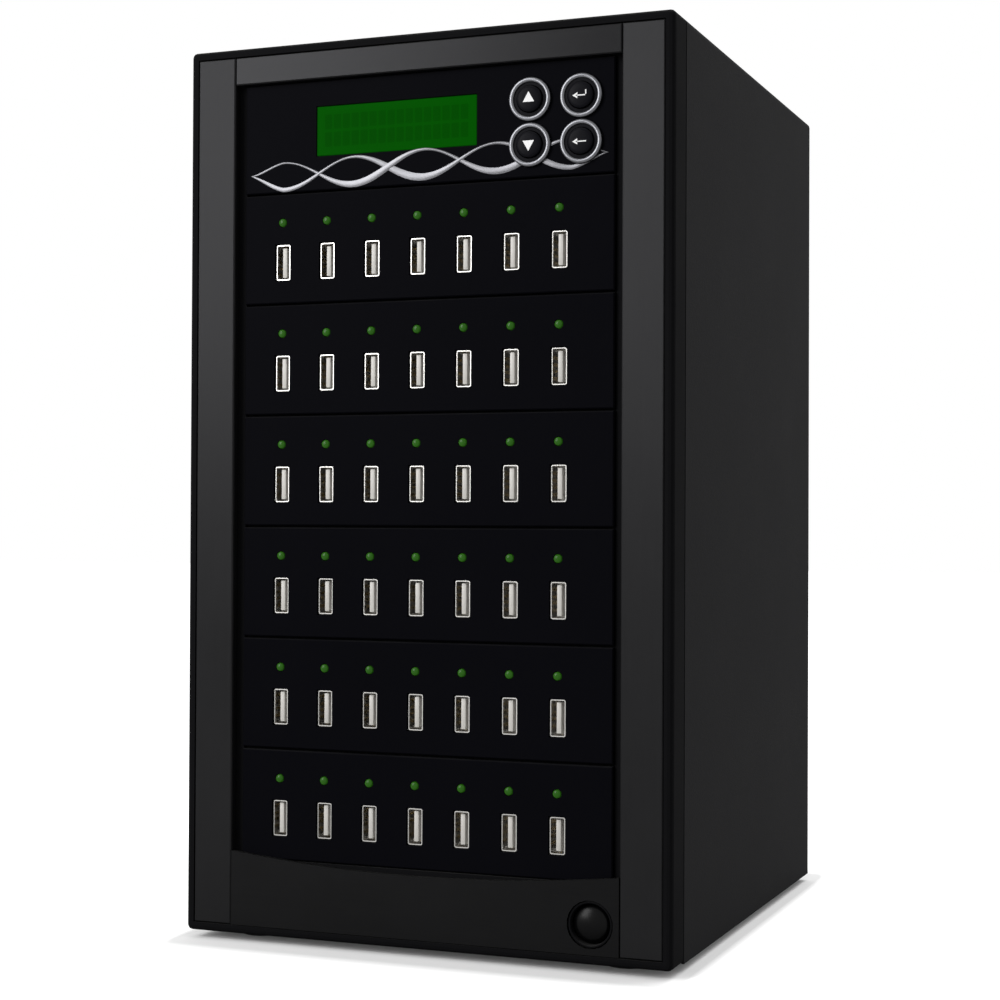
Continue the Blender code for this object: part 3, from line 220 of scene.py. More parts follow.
def new_group(
    name: str, inputs: dict[str, float], outputs: tuple[str, ...]
) -> tuple[NodeSheet, bpy.types.Node, bpy.types.Node]:
    """Start a shader node group with float inputs, a Vector input and float outputs.

    Args:
        name: the group's name.
        inputs: the float inputs and their defaults.
        outputs: the float outputs.

    Returns:
        The group's sheet, its input node and its output node.
    """
    tree = bpy.data.node_groups.new(name, "ShaderNodeTree")
    tree.interface.new_socket("Vector", in_out="INPUT", socket_type="NodeSocketVector")
    for key, value in inputs.items():
        socket = tree.interface.new_socket(key, in_out="INPUT", socket_type="NodeSocketFloat")
        socket.default_value = value
    for key in outputs:
        tree.interface.new_socket(key, in_out="OUTPUT", socket_type="NodeSocketFloat")
    return NodeSheet(tree), tree.nodes.new("NodeGroupInput"), tree.nodes.new("NodeGroupOutput")


class Effects:
    """The shader node groups that several finishes share."""

    SMUDGE_RATE = 7.0  # how much finer the smudges are than the slow mottle
    SMUDGE_SHARE = 0.3
    FINE_RATE = 4.3  # how much finer the fine scratches are than the coarse ones
    FINE_SHARE = 0.4
    SCRATCH_ROUGHNESS = 0.7
    DUST_FROM = 0.4  # how far up a face has to look to hold dust
    SPECK_SCALE = 900.0
    SPECK_ROUGHNESS = 0.75
    PATCH_SCALE = 35.0

    def __init__(self) -> None:
        """Build each group once."""
        self.mottle = self._mottle()
        self.streaks = self._streaks()
        self.pores = self._pores()
        self.dust = self._dust()

    def _mottle(self) -> bpy.types.NodeTree:
        """Slow changes of tone over a few centimetres, with finer smudges.

        Returns:
            The group's tree.
        """
        sheet, given, made = new_group("mottle", {"Scale": 20.0}, ("Value",))
        slow = sheet.noise(given.outputs["Vector"], given.outputs["Scale"], 2.0)
        finer = sheet.maths("MULTIPLY", given.outputs["Scale"], self.SMUDGE_RATE)
        smudge = sheet.noise(given.outputs["Vector"], finer, 4.0)
        sheet.feed(made, "Value", sheet.weigh(slow, smudge, self.SMUDGE_SHARE))
        return sheet.tree

    def _streaks(self) -> bpy.types.NodeTree:
        """Fine parallel scratches. The material's Mapping node stretches the coordinates.

        Returns:
            The group's tree.
        """
        sheet, given, made = new_group("streaks", {"Scale": 1.0}, ("Value", "Height"))
        place, scale = given.outputs["Vector"], given.outputs["Scale"]
        coarse = sheet.noise(place, scale, 3.0, self.SCRATCH_ROUGHNESS)
        finer = sheet.maths("MULTIPLY", scale, self.FINE_RATE)
        fine = sheet.noise(place, finer, 3.0, self.SCRATCH_ROUGHNESS)
        sheet.feed(made, "Value", sheet.weigh(coarse, fine, self.FINE_SHARE))
        sheet.feed(made, "Height", fine)
        return sheet.tree

    @staticmethod
    def _pores() -> bpy.types.NodeTree:
        """A moulded or sprayed skin of small bumps.

        Returns:
            The group's tree.
        """
        sheet, given, made = new_group("pores", {"Scale": 2500.0, "Roundness": 0.5}, ("Height",))
        place, scale = given.outputs["Vector"], given.outputs["Scale"]
        cells = sheet.add("ShaderNodeTexVoronoi", {"feature": "SMOOTH_F1"}, Vector=place, Scale=scale)
        rough = sheet.noise(place, scale, 3.0)
        cell_part = sheet.maths("MULTIPLY", cells.outputs["Distance"], given.outputs["Roundness"])
        sheet.feed(made, "Height", sheet.maths("ADD", cell_part, rough))
        return sheet.tree

    def _dust(self) -> bpy.types.NodeTree:
        """Fine dust that lies on faces that look up.

        Returns:
            The group's tree.
        """
        sheet, given, made = new_group("dust", {"Amount": 0.1}, ("Value",))
        faces = sheet.add("ShaderNodeNewGeometry")
        parts = sheet.add("ShaderNodeSeparateXYZ", Vector=faces.outputs["Normal"])
        height = parts.outputs["Z"]
        upward = sheet.add("ShaderNodeMapRange", Value=height, From_Min=self.DUST_FROM, From_Max=1.0)
        specks = sheet.noise(given.outputs["Vector"], self.SPECK_SCALE, 6.0, self.SPECK_ROUGHNESS)
        patch = sheet.noise(given.outputs["Vector"], self.PATCH_SCALE, 2.0)
        fine = sheet.maths("MULTIPLY", specks, patch)
        cover = sheet.maths("MULTIPLY", fine, upward.outputs["Result"])
        sheet.feed(made, "Value", sheet.maths("MULTIPLY", cover, given.outputs["Amount"]))
        return sheet.tree


@dataclass(frozen=True)
class Finish:
    """One surface finish: its colour, gloss and fine texture."""

    name: str
    colour: Colour
    roughness: float
    metallic: float = 0.0
    specular: float = 0.5
    grain: Grain = Grain.SMOOTH
    grain_size: float = 0.4 * MM
    grain_depth: float = 0.02 * MM
    tone_share: float = 0.12  # how far the colour strays, lighter and darker
    gloss_share: float = 0.15  # how far the roughness strays
    mottle_size: float = 45 * MM
    dust: float = 0.25
    glow: Colour | None = None
    stretch: float = 60.0  # how long a brushed streak is, against its width
    spread_share: float = 0.0  # how much wider its highlights are across the brushing

    def _shade(self, colour: Colour, side: int) -> tuple[float, ...]:
        """A colour at the light or dark end of its stray, side being 1 or -1."""
        return tuple(min(part * (1 + side * self.tone_share), 1.0) for part in colour) + (1.0,)

    def _streak_vector(self, sheet: NodeSheet, place: bpy.types.NodeSocket) -> bpy.types.NodeSocket:
        """Coordinates that are squeezed along the brushing.

        Args:
            sheet: the material's sheet.
            place: the piece's coordinates.

        Returns:
            The squeezed coordinates' socket.
        """
        fine = 1 / self.grain_size
        slow = fine / self.stretch
        scale = (slow, fine, fine) if self.grain is Grain.BRUSHED_ACROSS else (fine, fine, slow)
        return sheet.add("ShaderNodeMapping", Vector=place, Scale=scale).outputs["Vector"]

    def build(self, effects: Effects) -> bpy.types.Material:
        """Make the material.

        Args:
            effects: the shared node groups.

        Returns:
            The material.
        """
        made = bpy.data.materials.new(self.name)
        made.use_nodes = True
        sheet = NodeSheet(made.node_tree)
        shader = made.node_tree.nodes["Principled BSDF"]
        place = sheet.add("ShaderNodeTexCoord").outputs["Object"]
        mottle = sheet.add("ShaderNodeGroup", {"node_tree": effects.mottle}, Vector=place)
        sheet.feed(mottle, "Scale", 1 / self.mottle_size)
        tone = mottle.outputs["Value"]
        height: bpy.types.NodeSocket | None = None
        if self.grain in (Grain.BRUSHED_UP, Grain.BRUSHED_ACROSS, Grain.ROLLED):
            squeezed = self._streak_vector(sheet, place)
            lines = sheet.add("ShaderNodeGroup", {"node_tree": effects.streaks}, Vector=squeezed)
            tone = sheet.weigh(tone, lines.outputs["Value"], LINE_SHARE)
            height = lines.outputs["Height"]
        elif self.grain in (Grain.MOULDED, Grain.POWDER):
            pores = sheet.add("ShaderNodeGroup", {"node_tree": effects.pores}, Vector=place)
            sheet.feed(pores, "Scale", 1 / self.grain_size)
            powder = self.grain is Grain.POWDER
            sheet.feed(pores, "Roundness", POWDER_ROUNDNESS if powder else MOULDED_ROUNDNESS)
            height = pores.outputs["Height"]
            tone = sheet.weigh(tone, height, PORE_SHARE)
        low, high = NOISE_SPAN
        contrast = sheet.add("ShaderNodeMapRange", Value=tone, From_Min=low, From_Max=high)
        level = contrast.outputs["Result"]
        colour = sheet.blend(level, self._shade(self.colour, -1), self._shade(self.colour, 1))
        dust = sheet.add("ShaderNodeGroup", {"node_tree": effects.dust}, Vector=place)
        sheet.feed(dust, "Amount", self.dust)
        sheet.feed(shader, "Base Color", sheet.blend(dust.outputs["Value"], colour, DUST_COLOUR))
        spread = self.roughness * self.gloss_share
        gloss = sheet.ranged(level, self.roughness - spread, self.roughness + spread)
        sheet.feed(shader, "Roughness", sheet.maths("ADD", gloss, dust.outputs["Value"]))
        shader.inputs["Metallic"].default_value = self.metallic
        shader.inputs["Specular IOR Level"].default_value = self.specular
        shader.inputs["Anisotropic"].default_value = self.spread_share
        turn = QUARTER_TURN if self.grain is Grain.BRUSHED_ACROSS else 0.0
        shader.inputs["Anisotropic Rotation"].default_value = turn
        if height is not None:
            bump = sheet.add("ShaderNodeBump", Height=height, Distance=self.grain_depth, Strength=1.0)
            sheet.feed(shader, "Normal", bump.outputs["Normal"])
        if self.glow:
            lit = sheet.blend(level, self._shade(self.glow, -1), self.glow + (1.0,))
            sheet.feed(shader, "Emission Color", lit)
            shader.inputs["Emission Strength"].default_value = 1.0
        return made


BRUSHED = {"grain_size": 0.35 * MM, "grain_depth": 0.006 * MM, "tone_share": 0.22, "stretch": 120.0}

FINISHES: dict[str, Finish] = {
    finish.name: finish
    for finish in (
        Finish(
            "moulded_black", (0.005, 0.005, 0.0055), 0.55,
            specular=0.006, grain=Grain.MOULDED, grain_depth=0.012 * MM,
        ),
        Finish(
            "button_gloss", (0.0009, 0.0009, 0.001), 0.29,
            specular=0.1, gloss_share=0.06, dust=0.0, tone_share=0.05,
        ),
        Finish(
            "polished_black", (0.003, 0.003, 0.0034), 0.14,
            specular=0.12, dust=0.1, tone_share=0.05,
        ),
        Finish(
            "brushed_black", (0.0189, 0.0189, 0.0197), 0.44, metallic=0.85, specular=0.05,
            grain=Grain.BRUSHED_UP, spread_share=0.8, **BRUSHED,
        ),
        Finish(
            "rail_black", (0.0125, 0.0125, 0.0131), 0.35, metallic=0.85, specular=0.05,
            grain=Grain.BRUSHED_ACROSS, spread_share=0.6, **BRUSHED,
        ),
        Finish(
            "fascia_black", (0.0068, 0.0068, 0.0071), 0.3, metallic=0.6, specular=0.08,
            grain=Grain.BRUSHED_ACROSS, spread_share=0.6, **BRUSHED,
        ),
        Finish(
            "cover_coat", (0.0121, 0.0121, 0.0128), 0.5, specular=0.008, gloss_share=0.12,
            grain=Grain.POWDER, grain_size=0.6 * MM, grain_depth=0.05 * MM, tone_share=0.14, dust=0.06,
        ),
        Finish(
            "panel_satin", (0.0026, 0.0026, 0.0036), 0.34,
            specular=0.0035, grain=Grain.MOULDED, grain_depth=0.008 * MM, dust=0.1,
        ),
        Finish(
            "zinc_sheet", (0.4, 0.405, 0.415), 0.4, metallic=1.0, grain=Grain.ROLLED,
            grain_size=0.7 * MM, stretch=16.0, grain_depth=0.012 * MM,
            tone_share=0.16, mottle_size=24 * MM,
        ),
        # A darker copy of the zinc sheet for the chassis base: painted shade, so that the seam between
        # the cover and the base reads dark.
        Finish(
            "zinc_darkened_as_seam_shade", (0.05, 0.05, 0.054), 0.42,
            metallic=1.0, grain=Grain.ROLLED, grain_size=0.7 * MM, stretch=16.0,
        ),
        Finish("nickel", (0.56, 0.55, 0.53), 0.27, metallic=1.0, tone_share=0.08),
        Finish("turned_silver", (0.135, 0.137, 0.147), 0.32, metallic=1.0, tone_share=0.06, dust=0.05),
        Finish(
            "key_satin", (0.004, 0.004, 0.0055), 0.34,
            specular=0.03, grain=Grain.MOULDED, grain_depth=0.005 * MM,
        ),
        Finish(
            "foot_rubber", (0.016, 0.016, 0.016), 0.8,
            specular=0.25, grain=Grain.MOULDED, grain_size=0.7 * MM,
        ),
        Finish(
            "board_mask", (0.012, 0.11, 0.035), 0.36,
            specular=0.4, tone_share=0.2, mottle_size=12 * MM,
        ),
        Finish(
            "display_green", (0.0006, 0.03, 0.0004), 0.2,
            specular=0.002, tone_share=0.06, dust=0.0, glow=(0.0006, 0.045, 0.0003),
        ),
        Finish(
            "display_cell", (0.0005, 0.024, 0.0003), 0.22,
            specular=0.002, tone_share=0.05, dust=0.0, glow=(0.0005, 0.038, 0.0003),
        ),
        Finish(
            "guard_wire", (0.5, 0.5, 0.495), 0.22,
            metallic=1.0, tone_share=0.06, grain=Grain.MOULDED, grain_depth=0.004 * MM,
        ),
        Finish("socket_steel", (0.5, 0.49, 0.47), 0.26, metallic=1.0, tone_share=0.08, dust=0.0),
        Finish("tongue_ivory", (0.5, 0.485, 0.455), 0.42, specular=0.4, tone_share=0.05, dust=0.0),
        Finish("contact_gold", (0.83, 0.6, 0.24), 0.25, metallic=1.0, dust=0.0),
        Finish(
            "lamp_lens", (0.012, 0.06, 0.003), 0.22,
            specular=0.12, tone_share=0.1, dust=0.0, glow=(0.006, 0.035, 0.001),
        ),
        Finish("solder", (0.6, 0.6, 0.6), 0.35, metallic=1.0),
        # Plain black for the strips behind the bay grooves: painted shade.
        Finish("painted_groove_shade", (0.004, 0.004, 0.004), 0.9, specular=0.05, dust=0.0, grain=Grain.MOULDED),
        Finish("sign_white", (0.72, 0.72, 0.72), 0.5, specular=0.3, tone_share=0.04, dust=0.0),
        Finish(
            "ribbon_silver", (0.13, 0.13, 0.139), 0.36,
            metallic=0.9, tone_share=0.3, mottle_size=16 * MM, dust=0.0,
        ),
        Finish("display_frame", (0.012, 0.012, 0.012), 0.4, specular=0.3),
        Finish("fan_black", (0.012, 0.012, 0.012), 0.45, specular=0.4, grain=Grain.MOULDED),
    )
}


class FinishShelf:
    """Makes each finish once and hands it out."""

    def __init__(self) -> None:
        """Build the shared effects."""
        self.effects = Effects()
        self.made: dict[str, bpy.types.Material] = {}

    def take(self, name: str) -> bpy.types.Material:
        """The material of a named finish, made at its first use.

        Args:
            name: the finish's name.

        Returns:
            The material.
        """
        if name not in self.made:
            self.made[name] = FINISHES[name].build(self.effects)
        return self.made[name]


@dataclass(frozen=True)
class Lamp:
    """A soft rectangular lamp."""

    name: str
    place: Point
    target: Point
    size: tuple[float, float]
    power: float  # watts

    def hang(self) -> None:
        """Add the lamp to the scene, facing its target."""
        data = bpy.data.lights.new(self.name, "AREA")
        data.shape = "RECTANGLE"
        data.size, data.size_y = self.size
        data.energy = self.power
        lamp = bpy.data.objects.new(self.name, data)
        lamp.location = self.place
        way = Vector(self.target) - Vector(self.place)
        lamp.rotation_euler = way.to_track_quat("-Z", "Y").to_euler()
        bpy.context.scene.collection.objects.link(lamp)


@dataclass
class Studio:
    """The camera, the pale floor and the soft light."""

    camera_place: Point = (287.8 * MM, -763.75 * MM, 156.0 * MM)
    yaw: float = math.radians(21.375)
    pitch: float = math.radians(0.709)
    roll: float = math.radians(0.248)
    lens: float = 71.52
    sensor: float = 36.0
    floor_side: float = 12.0
    floor_colour: Colour = (0.86, 0.86, 0.86)
    floor_bounce: Colour = (0.3, 0.3, 0.3)  # for the light that it throws back
    floor_in_gloss: float = 0.35  # how much of its lift reflections show, which makes it white
    footprint: tuple[float, float] = (95 * MM, 108 * MM)  # half of the object's width and depth
    # The lift is least next to the footprint and grows outwards: painted light over the floor's shadow
    # beyond a narrow band round the base.
    lift_near: float = 0.04  # what the camera and reflections see added to the lit floor
    lift_far: float = 0.72
    shadow_band_span: tuple[float, float] = (9 * MM, 24 * MM)  # from the footprint, over which it grows
    shadow_band_stretch: tuple[float, float] = (2.6, 1.0)  # of distances beside and before it
    ambient: float = 0.72
    lamps: tuple[Lamp, ...] = (
        Lamp("key", (-0.78, -1.15, 0.7), (0.0, -0.1, 0.2), (0.7, 0.95), 18.5),
        Lamp("overhead", (0.45, 0.5, 1.35), (0.0, 0.0, 0.1), (1.0, 1.0), 10.0),
    )

    def build(self) -> None:
        """Make the camera, the world, the floor and the lamps."""
        self._camera()
        self._world()
        self._floor()
        for lamp in self.lamps:
            lamp.hang()
        bpy.context.scene.view_settings.view_transform = "Standard"
        LOG.info("studio ready")

    def _camera(self) -> None:
        """Stand the camera where the photograph was taken from."""
        level = Vector((-math.sin(self.yaw), math.cos(self.yaw), 0))
        right = Vector((math.cos(self.yaw), math.sin(self.yaw), 0))
        up = Vector((0, 0, 1))
        forward = level * math.cos(self.pitch) + up * math.sin(self.pitch)
        lifted = up * math.cos(self.pitch) - level * math.sin(self.pitch)
        across = right * math.cos(self.roll) + lifted * math.sin(self.roll)
        upward = lifted * math.cos(self.roll) - right * math.sin(self.roll)
        data = bpy.data.cameras.new("camera")
        data.lens = self.lens
        data.sensor_width = self.sensor
        data.clip_start = 0.01
        camera = bpy.data.objects.new("camera", data)
        turn = Matrix((across, upward, -forward)).transposed().to_4x4()
        camera.matrix_world = Matrix.Translation(self.camera_place) @ turn
        bpy.context.scene.collection.objects.link(camera)
        bpy.context.scene.camera = camera

    @staticmethod
    def _seen_directly(sheet: NodeSheet, in_gloss: float = 1.0) -> bpy.types.NodeSocket:
        """Tell the rays that see the plain background from those that only light.

        Args:
            sheet: the sheet to put the nodes in.
            in_gloss: what glossy rays count.

        Returns:
            A socket that is 1 for camera and transmission rays and in_gloss for glossy ones.
        """
        path = sheet.add("ShaderNodeLightPath")
        gloss = sheet.maths("MULTIPLY", path.outputs["Is Glossy Ray"], in_gloss)
        seen = sheet.maths("MAXIMUM", path.outputs["Is Camera Ray"], gloss)
        return sheet.maths("MAXIMUM", seen, path.outputs["Is Transmission Ray"])

    def _world(self) -> None:
        """A white surround that lights the object softly."""
        world = bpy.data.worlds.new("surround")
        world.use_nodes = True
        sheet = NodeSheet(world.node_tree)
        sheet.tree.nodes.clear()
        soft = sheet.add("ShaderNodeBackground", Strength=self.ambient)
        plain = sheet.add("ShaderNodeBackground", Strength=1.0)
        for node in (soft, plain):
            node.inputs["Color"].default_value = (1.0, 1.0, 1.0, 1.0)
        mixed = sheet.add("ShaderNodeMixShader", Fac=self._seen_directly(sheet))
        sheet.feed(mixed, 1, soft.outputs[0])
        sheet.feed(mixed, 2, plain.outputs[0])
        sheet.add("ShaderNodeOutputWorld", Surface=mixed.outputs[0])
        bpy.context.scene.world = world

    def _floor(self) -> None:
        """A pale floor with the object's shadow, painted over with light beyond a band round it."""
        clear_selection()
        bpy.ops.mesh.primitive_plane_add(size=self.floor_side)
        floor = bpy.context.active_object
        floor.name = "floor"
        pale = bpy.data.materials.new("pale_floor")
        pale.use_nodes = True
        sheet = NodeSheet(pale.node_tree)
        sheet.tree.nodes.clear()
        seen = self._seen_directly(sheet, self.floor_in_gloss)
        colour = sheet.blend(seen, self.floor_bounce + (1.0,), self.floor_colour + (1.0,))
        lit = sheet.add("ShaderNodeBsdfDiffuse", Color=colour)
        place = sheet.add("ShaderNodeTexCoord").outputs["Object"]
        parts = sheet.add("ShaderNodeSeparateXYZ", Vector=place)
        beyond = []
        for axis, half, stretch in zip("XY", self.footprint, self.shadow_band_stretch):
            past = sheet.maths("SUBTRACT", sheet.maths("ABSOLUTE", parts.outputs[axis]), half)
            counted = sheet.maths("MULTIPLY", sheet.maths("MAXIMUM", past, 0.0), stretch)
            beyond.append(sheet.maths("POWER", counted, 2.0))
        distance = sheet.maths("SQRT", sheet.maths("ADD", *beyond))
        # Painted light: the lift grows with the distance from the footprint, so the shadow shows only
        # in a narrow band round the base.
        growth = sheet.add("ShaderNodeMapRange", Value=distance)
        for key, value in zip(("From Min", "From Max"), self.shadow_band_span):
            sheet.feed(growth, key, value)
        sheet.feed(growth, "To Min", self.lift_near)
        sheet.feed(growth, "To Max", self.lift_far)
        lift = sheet.add("ShaderNodeEmission")
        sheet.feed(lift, "Strength", sheet.maths("MULTIPLY", seen, growth.outputs["Result"]))
        both = sheet.add("ShaderNodeAddShader")
        sheet.feed(both, 0, lit.outputs[0])
        sheet.feed(both, 1, lift.outputs[0])
        sheet.add("ShaderNodeOutputMaterial", Surface=both.outputs[0])
        floor.data.materials.append(pale)


def clear_selection() -> None:
    """Deselect every object."""
    bpy.ops.object.select_all(action="DESELECT")


@contextmanager
def edit_mode(kind: str | None = None, selection: str | None = None) -> Iterator[None]:
    """Stay in edit mode for a with block.

    Args:
        kind: VERT, EDGE or FACE, for what is selected, or None to leave it.
        selection: SELECT or DESELECT, for all of the mesh, or None to leave it.
    """
    bpy.ops.object.mode_set(mode="EDIT")
    if kind:
        bpy.ops.mesh.select_mode(type=kind)
    if selection:
        bpy.ops.mesh.select_all(action=selection)
    yield
    bpy.ops.object.mode_set(mode="OBJECT")


def dome_profile(radius: float, height: float, steps: int) -> Profile:
    """A quarter of an ellipse, from a dome's crown to its rim.

    Args:
        radius: the rim's radius.
        height: how far the rim lies behind the crown.
        steps: the curve's steps.

    Returns:
        Its (radius, distance) points.
    """
    angles = [step * math.pi / 2 / steps for step in range(steps + 1)]
    return [(radius * math.sin(angle), height * (1 - math.cos(angle))) for angle in angles]


@dataclass
class CadDressing:
    """Gives the CAD nodes their detailed finishes. Those that are replaced later need none."""

    finishes: dict[str, str] = field(
        default_factory=lambda: {
            "front_bezel": "moulded_black",
            "left_post_trim": "brushed_black",
            "right_post_trim": "brushed_black",
            "top_rail_trim": "rail_black",
            "lower_fascia": "fascia_black",
            "wrap_cover": "cover_coat",
            # darkened zinc: painted shade in the seam between the cover and the base
            "chassis_base": "zinc_darkened_as_seam_shade",
            "rocker_frame": "moulded_black",
            "control_panel": "panel_satin",
            "lcd_window": "display_green",
            "lcd_module": "display_frame",
            "control_board": "board_mask",
        }
    )
    prefixes: tuple[tuple[str, str], ...] = (
        ("rubber_foot", "foot_rubber"),
        ("usb_panel", "panel_satin"),
        ("psu_fan", "fan_black"),
        ("case_fan", "fan_black"),
    )

    def finish_of(self, node: str) -> str:
        """The finish's name for a CAD node.

        Args:
            node: the CAD node's name.

        Returns:
            The finish's name.
        """
        if node in self.finishes:
            return self.finishes[node]
        fitting = (finish for prefix, finish in self.prefixes if node.startswith(prefix))
        return next(fitting, "zinc_sheet")

    def build(self, nodes: dict[str, bpy.types.Object], shelf: FinishShelf) -> None:
        """Dress every CAD node.

        Args:
            nodes: the CAD nodes by name.
            shelf: where the finishes come from.
        """
        for name, node in nodes.items():
            material = shelf.take(self.finish_of(name))
            for slot in node.material_slots:
                slot.material = material
            if not node.material_slots:
                node.data.materials.append(material)
        LOG.info("dressed %d CAD nodes", len(nodes))


class Workshop:
    """Models pieces from primitives, in object and edit mode."""

    @staticmethod
    def _settle(piece: bpy.types.Object, name: str) -> bpy.types.Object:
        """Name a fresh primitive and put its place into its mesh.

        Args:
            piece: the primitive.
            name: its name.

        Returns:
            The primitive.
        """
        piece.name = name
        piece.data.name = name
        bpy.ops.object.transform_apply(location=True, rotation=True, scale=True)
        return piece

    @staticmethod
    def only(piece: bpy.types.Object) -> None:
        """Select this piece alone and make it active.

        Args:
            piece: the piece.
        """
        clear_selection()
        piece.select_set(True)
        bpy.context.view_layer.objects.active = piece

    @classmethod
    def block(
        cls, name: str, low: Point, high: Point, soft: float = 0.0, steps: int = 2
    ) -> bpy.types.Object:
        """Add a block between two corners, with its edges softened.

        Args:
            name: the piece's name.
            low: its lowest corner.
            high: its highest corner.
            soft: the bevel's width, or zero for none.
            steps: the bevel's segments.

        Returns:
            The block.
        """
        clear_selection()
        middle = (Vector(low) + Vector(high)) / 2
        bpy.ops.mesh.primitive_cube_add(size=1, location=middle, scale=Vector(high) - Vector(low))
        piece = cls._settle(bpy.context.active_object, name)
        return cls.soften(piece, soft, steps) if soft else piece

    @classmethod
    def rod(
        cls,
        name: str,
        centre: Point,
        radius: float,
        start: float,
        end: float,
        sides: int = 32,
        soft: float = 0.0,
    ) -> bpy.types.Object:
        """Add a rod along Y.

        Args:
            name: the piece's name.
            centre: a point whose X and Z the rod runs through.
            radius: its radius.
            start: its front end's Y.
            end: its rear end's Y.
            sides: how many sides it has.
            soft: the bevel's width, or zero for none.

        Returns:
            The rod.
        """
        clear_selection()
        place = (centre[0], (start + end) / 2, centre[2])
        bpy.ops.mesh.primitive_cylinder_add(
            vertices=sides,
            radius=radius,
            depth=end - start,
            location=place,
            rotation=(math.pi / 2, 0, 0),
        )
        piece = cls._settle(bpy.context.active_object, name)
        return cls.soften(piece, soft, 2) if soft else piece

    @classmethod
    def _drawn(
        cls, name: str, start: Point, moves: list[Point], work: Callable[[], None]
    ) -> bpy.types.Object:
        """Extrude a line of points, make a skin of it and point its faces outwards.

        Args:
            name: the piece's name.
            start: the line's first point.
            moves: the way from each point to the next.
            work: makes the skin from the selected line, in edit mode.

        Returns:
            The piece.
        """
        clear_selection()
        bpy.ops.mesh.primitive_plane_add(size=MM, location=start)
        with edit_mode("VERT", "SELECT"):
            bpy.ops.mesh.merge(type="CENTER")
            for move in moves:
                bpy.ops.mesh.extrude_vertices_move(TRANSFORM_OT_translate={"value": move})
            bpy.ops.mesh.select_all(action="SELECT")
            work()
            bpy.ops.mesh.select_all(action="SELECT")
            bpy.ops.mesh.normals_make_consistent(inside=False)
        return cls._settle(bpy.context.active_object, name)

    @classmethod
    def turned(cls, name: str, profile: Profile, centre: Point, sides: int = 64) -> bpy.types.Object:
        """Extrude a profile point by point, then spin it about a Y axis.

        Args:
            name: the piece's name.
            profile: (radius, distance along Y) points. One that ends at its start is a ring.
            centre: the point on the axis that distances are measured from.
            sides: the spin's steps.

        Returns:
            The turned piece.
        """

        def spin() -> None:
            """Spin the line and weld its doubled points."""
            bpy.ops.mesh.spin(steps=sides, angle=math.tau, center=centre, axis=(0, 1, 0))
            bpy.ops.mesh.select_all(action="SELECT")
            bpy.ops.mesh.remove_doubles(threshold=WELD_DISTANCE)

        radius, along = profile[0]
        first = (centre[0] + radius, centre[1] + along, centre[2])
        steps = zip(profile, profile[1:])
        moves = [(after[0] - before[0], after[1] - before[1], 0) for before, after in steps]
        return cls._drawn(name, first, moves, spin)

    @classmethod
    def hoop(
        cls, name: str, centre: Point, radius: float, wire: float, sides: int, wire_sides: int
    ) -> bpy.types.Object:
        """Bend a round wire into a ring about the Y axis.

        Args:
            name: the ring's name.
            centre: its middle.
            radius: from its middle to the wire's.
            wire: the wire's radius.
            sides: steps round the ring.
            wire_sides: steps round the wire.

        Returns:
            The ring.
        """
        clear_selection()
        bpy.ops.mesh.primitive_torus_add(
            location=centre,
            rotation=(math.pi / 2, 0, 0),
            major_radius=radius,
            minor_radius=wire,
            major_segments=sides,
            minor_segments=wire_sides,
        )
        return cls._settle(bpy.context.active_object, name)

    @classmethod
    def prism(cls, name: str, outline: Profile, start: float, end: float) -> bpy.types.Object:
        """Raise a flat outline along X.

        Args:
            name: the piece's name.
            outline: its (y, z) corners.
            start: X of one end.
            end: X of the other.

        Returns:
            The piece.
        """

        def raise_face() -> None:
            """Close the line with a face and extrude that."""
            bpy.ops.mesh.edge_face_add()
            bpy.ops.mesh.extrude_region_move(TRANSFORM_OT_translate={"value": (end - start, 0, 0)})

        steps = zip(outline, outline[1:])
        moves = [(0, after[0] - before[0], after[1] - before[1]) for before, after in steps]
        return cls._drawn(name, (start, *outline[0]), moves, raise_face)

    @classmethod
    def modify(cls, piece: bpy.types.Object, kind: str, **settings: object) -> bpy.types.Object:
        """Apply one modifier to a piece.

        Args:
            piece: the piece.
            kind: the modifier's type.
            settings: its options.

        Returns:
            The piece.
        """
        cls.only(piece)
        modifier = piece.modifiers.new(kind.lower(), kind)
        for option, value in settings.items():
            setattr(modifier, option, value)
        bpy.ops.object.modifier_apply(modifier=modifier.name)
        return piece

    @classmethod
    def soften(cls, piece: bpy.types.Object, width: float, steps: int) -> bpy.types.Object:
        """Bevel every sharp edge of a piece."""
        return cls.modify(piece, "BEVEL", width=width, segments=steps, limit_method="ANGLE")

    @classmethod
    def _select_nothing(cls, piece: bpy.types.Object, kind: str) -> None:
        """Select a piece alone, and none of its points, edges and faces.

        Args:
            piece: the piece.
            kind: EDGE or FACE, for what is picked next.
        """
        cls.only(piece)
        bpy.ops.object.mode_set(mode="EDIT")
        bpy.ops.mesh.select_mode(type=kind)
        bpy.ops.mesh.select_all(action="DESELECT")
        bpy.ops.object.mode_set(mode="OBJECT")

    @classmethod
    def round_along(
        cls, piece: bpy.types.Object, axis: int, width: float, steps: int, above: float | None = None
    ) -> bpy.types.Object:
        """Bevel the edges of a block that run along one axis.

        Args:
            piece: the block.
            axis: 0, 1 or 2 for X, Y or Z.
            width: the bevel's width.
            steps: its segments.
            above: the height over which an edge has to lie, or None for all.

        Returns:
            The block.
        """
        cls._select_nothing(piece, "EDGE")
        spots = piece.data.vertices
        for edge in piece.data.edges:
            run = spots[edge.vertices[0]].co - spots[edge.vertices[1]].co
            high_enough = above is None or spots[edge.vertices[0]].co.z > above
            edge.select = abs(run[axis]) > run.length * ALONG_SHARE and high_enough
        with edit_mode():
            bpy.ops.mesh.bevel(offset=width, segments=steps, affect="EDGES")
        return piece

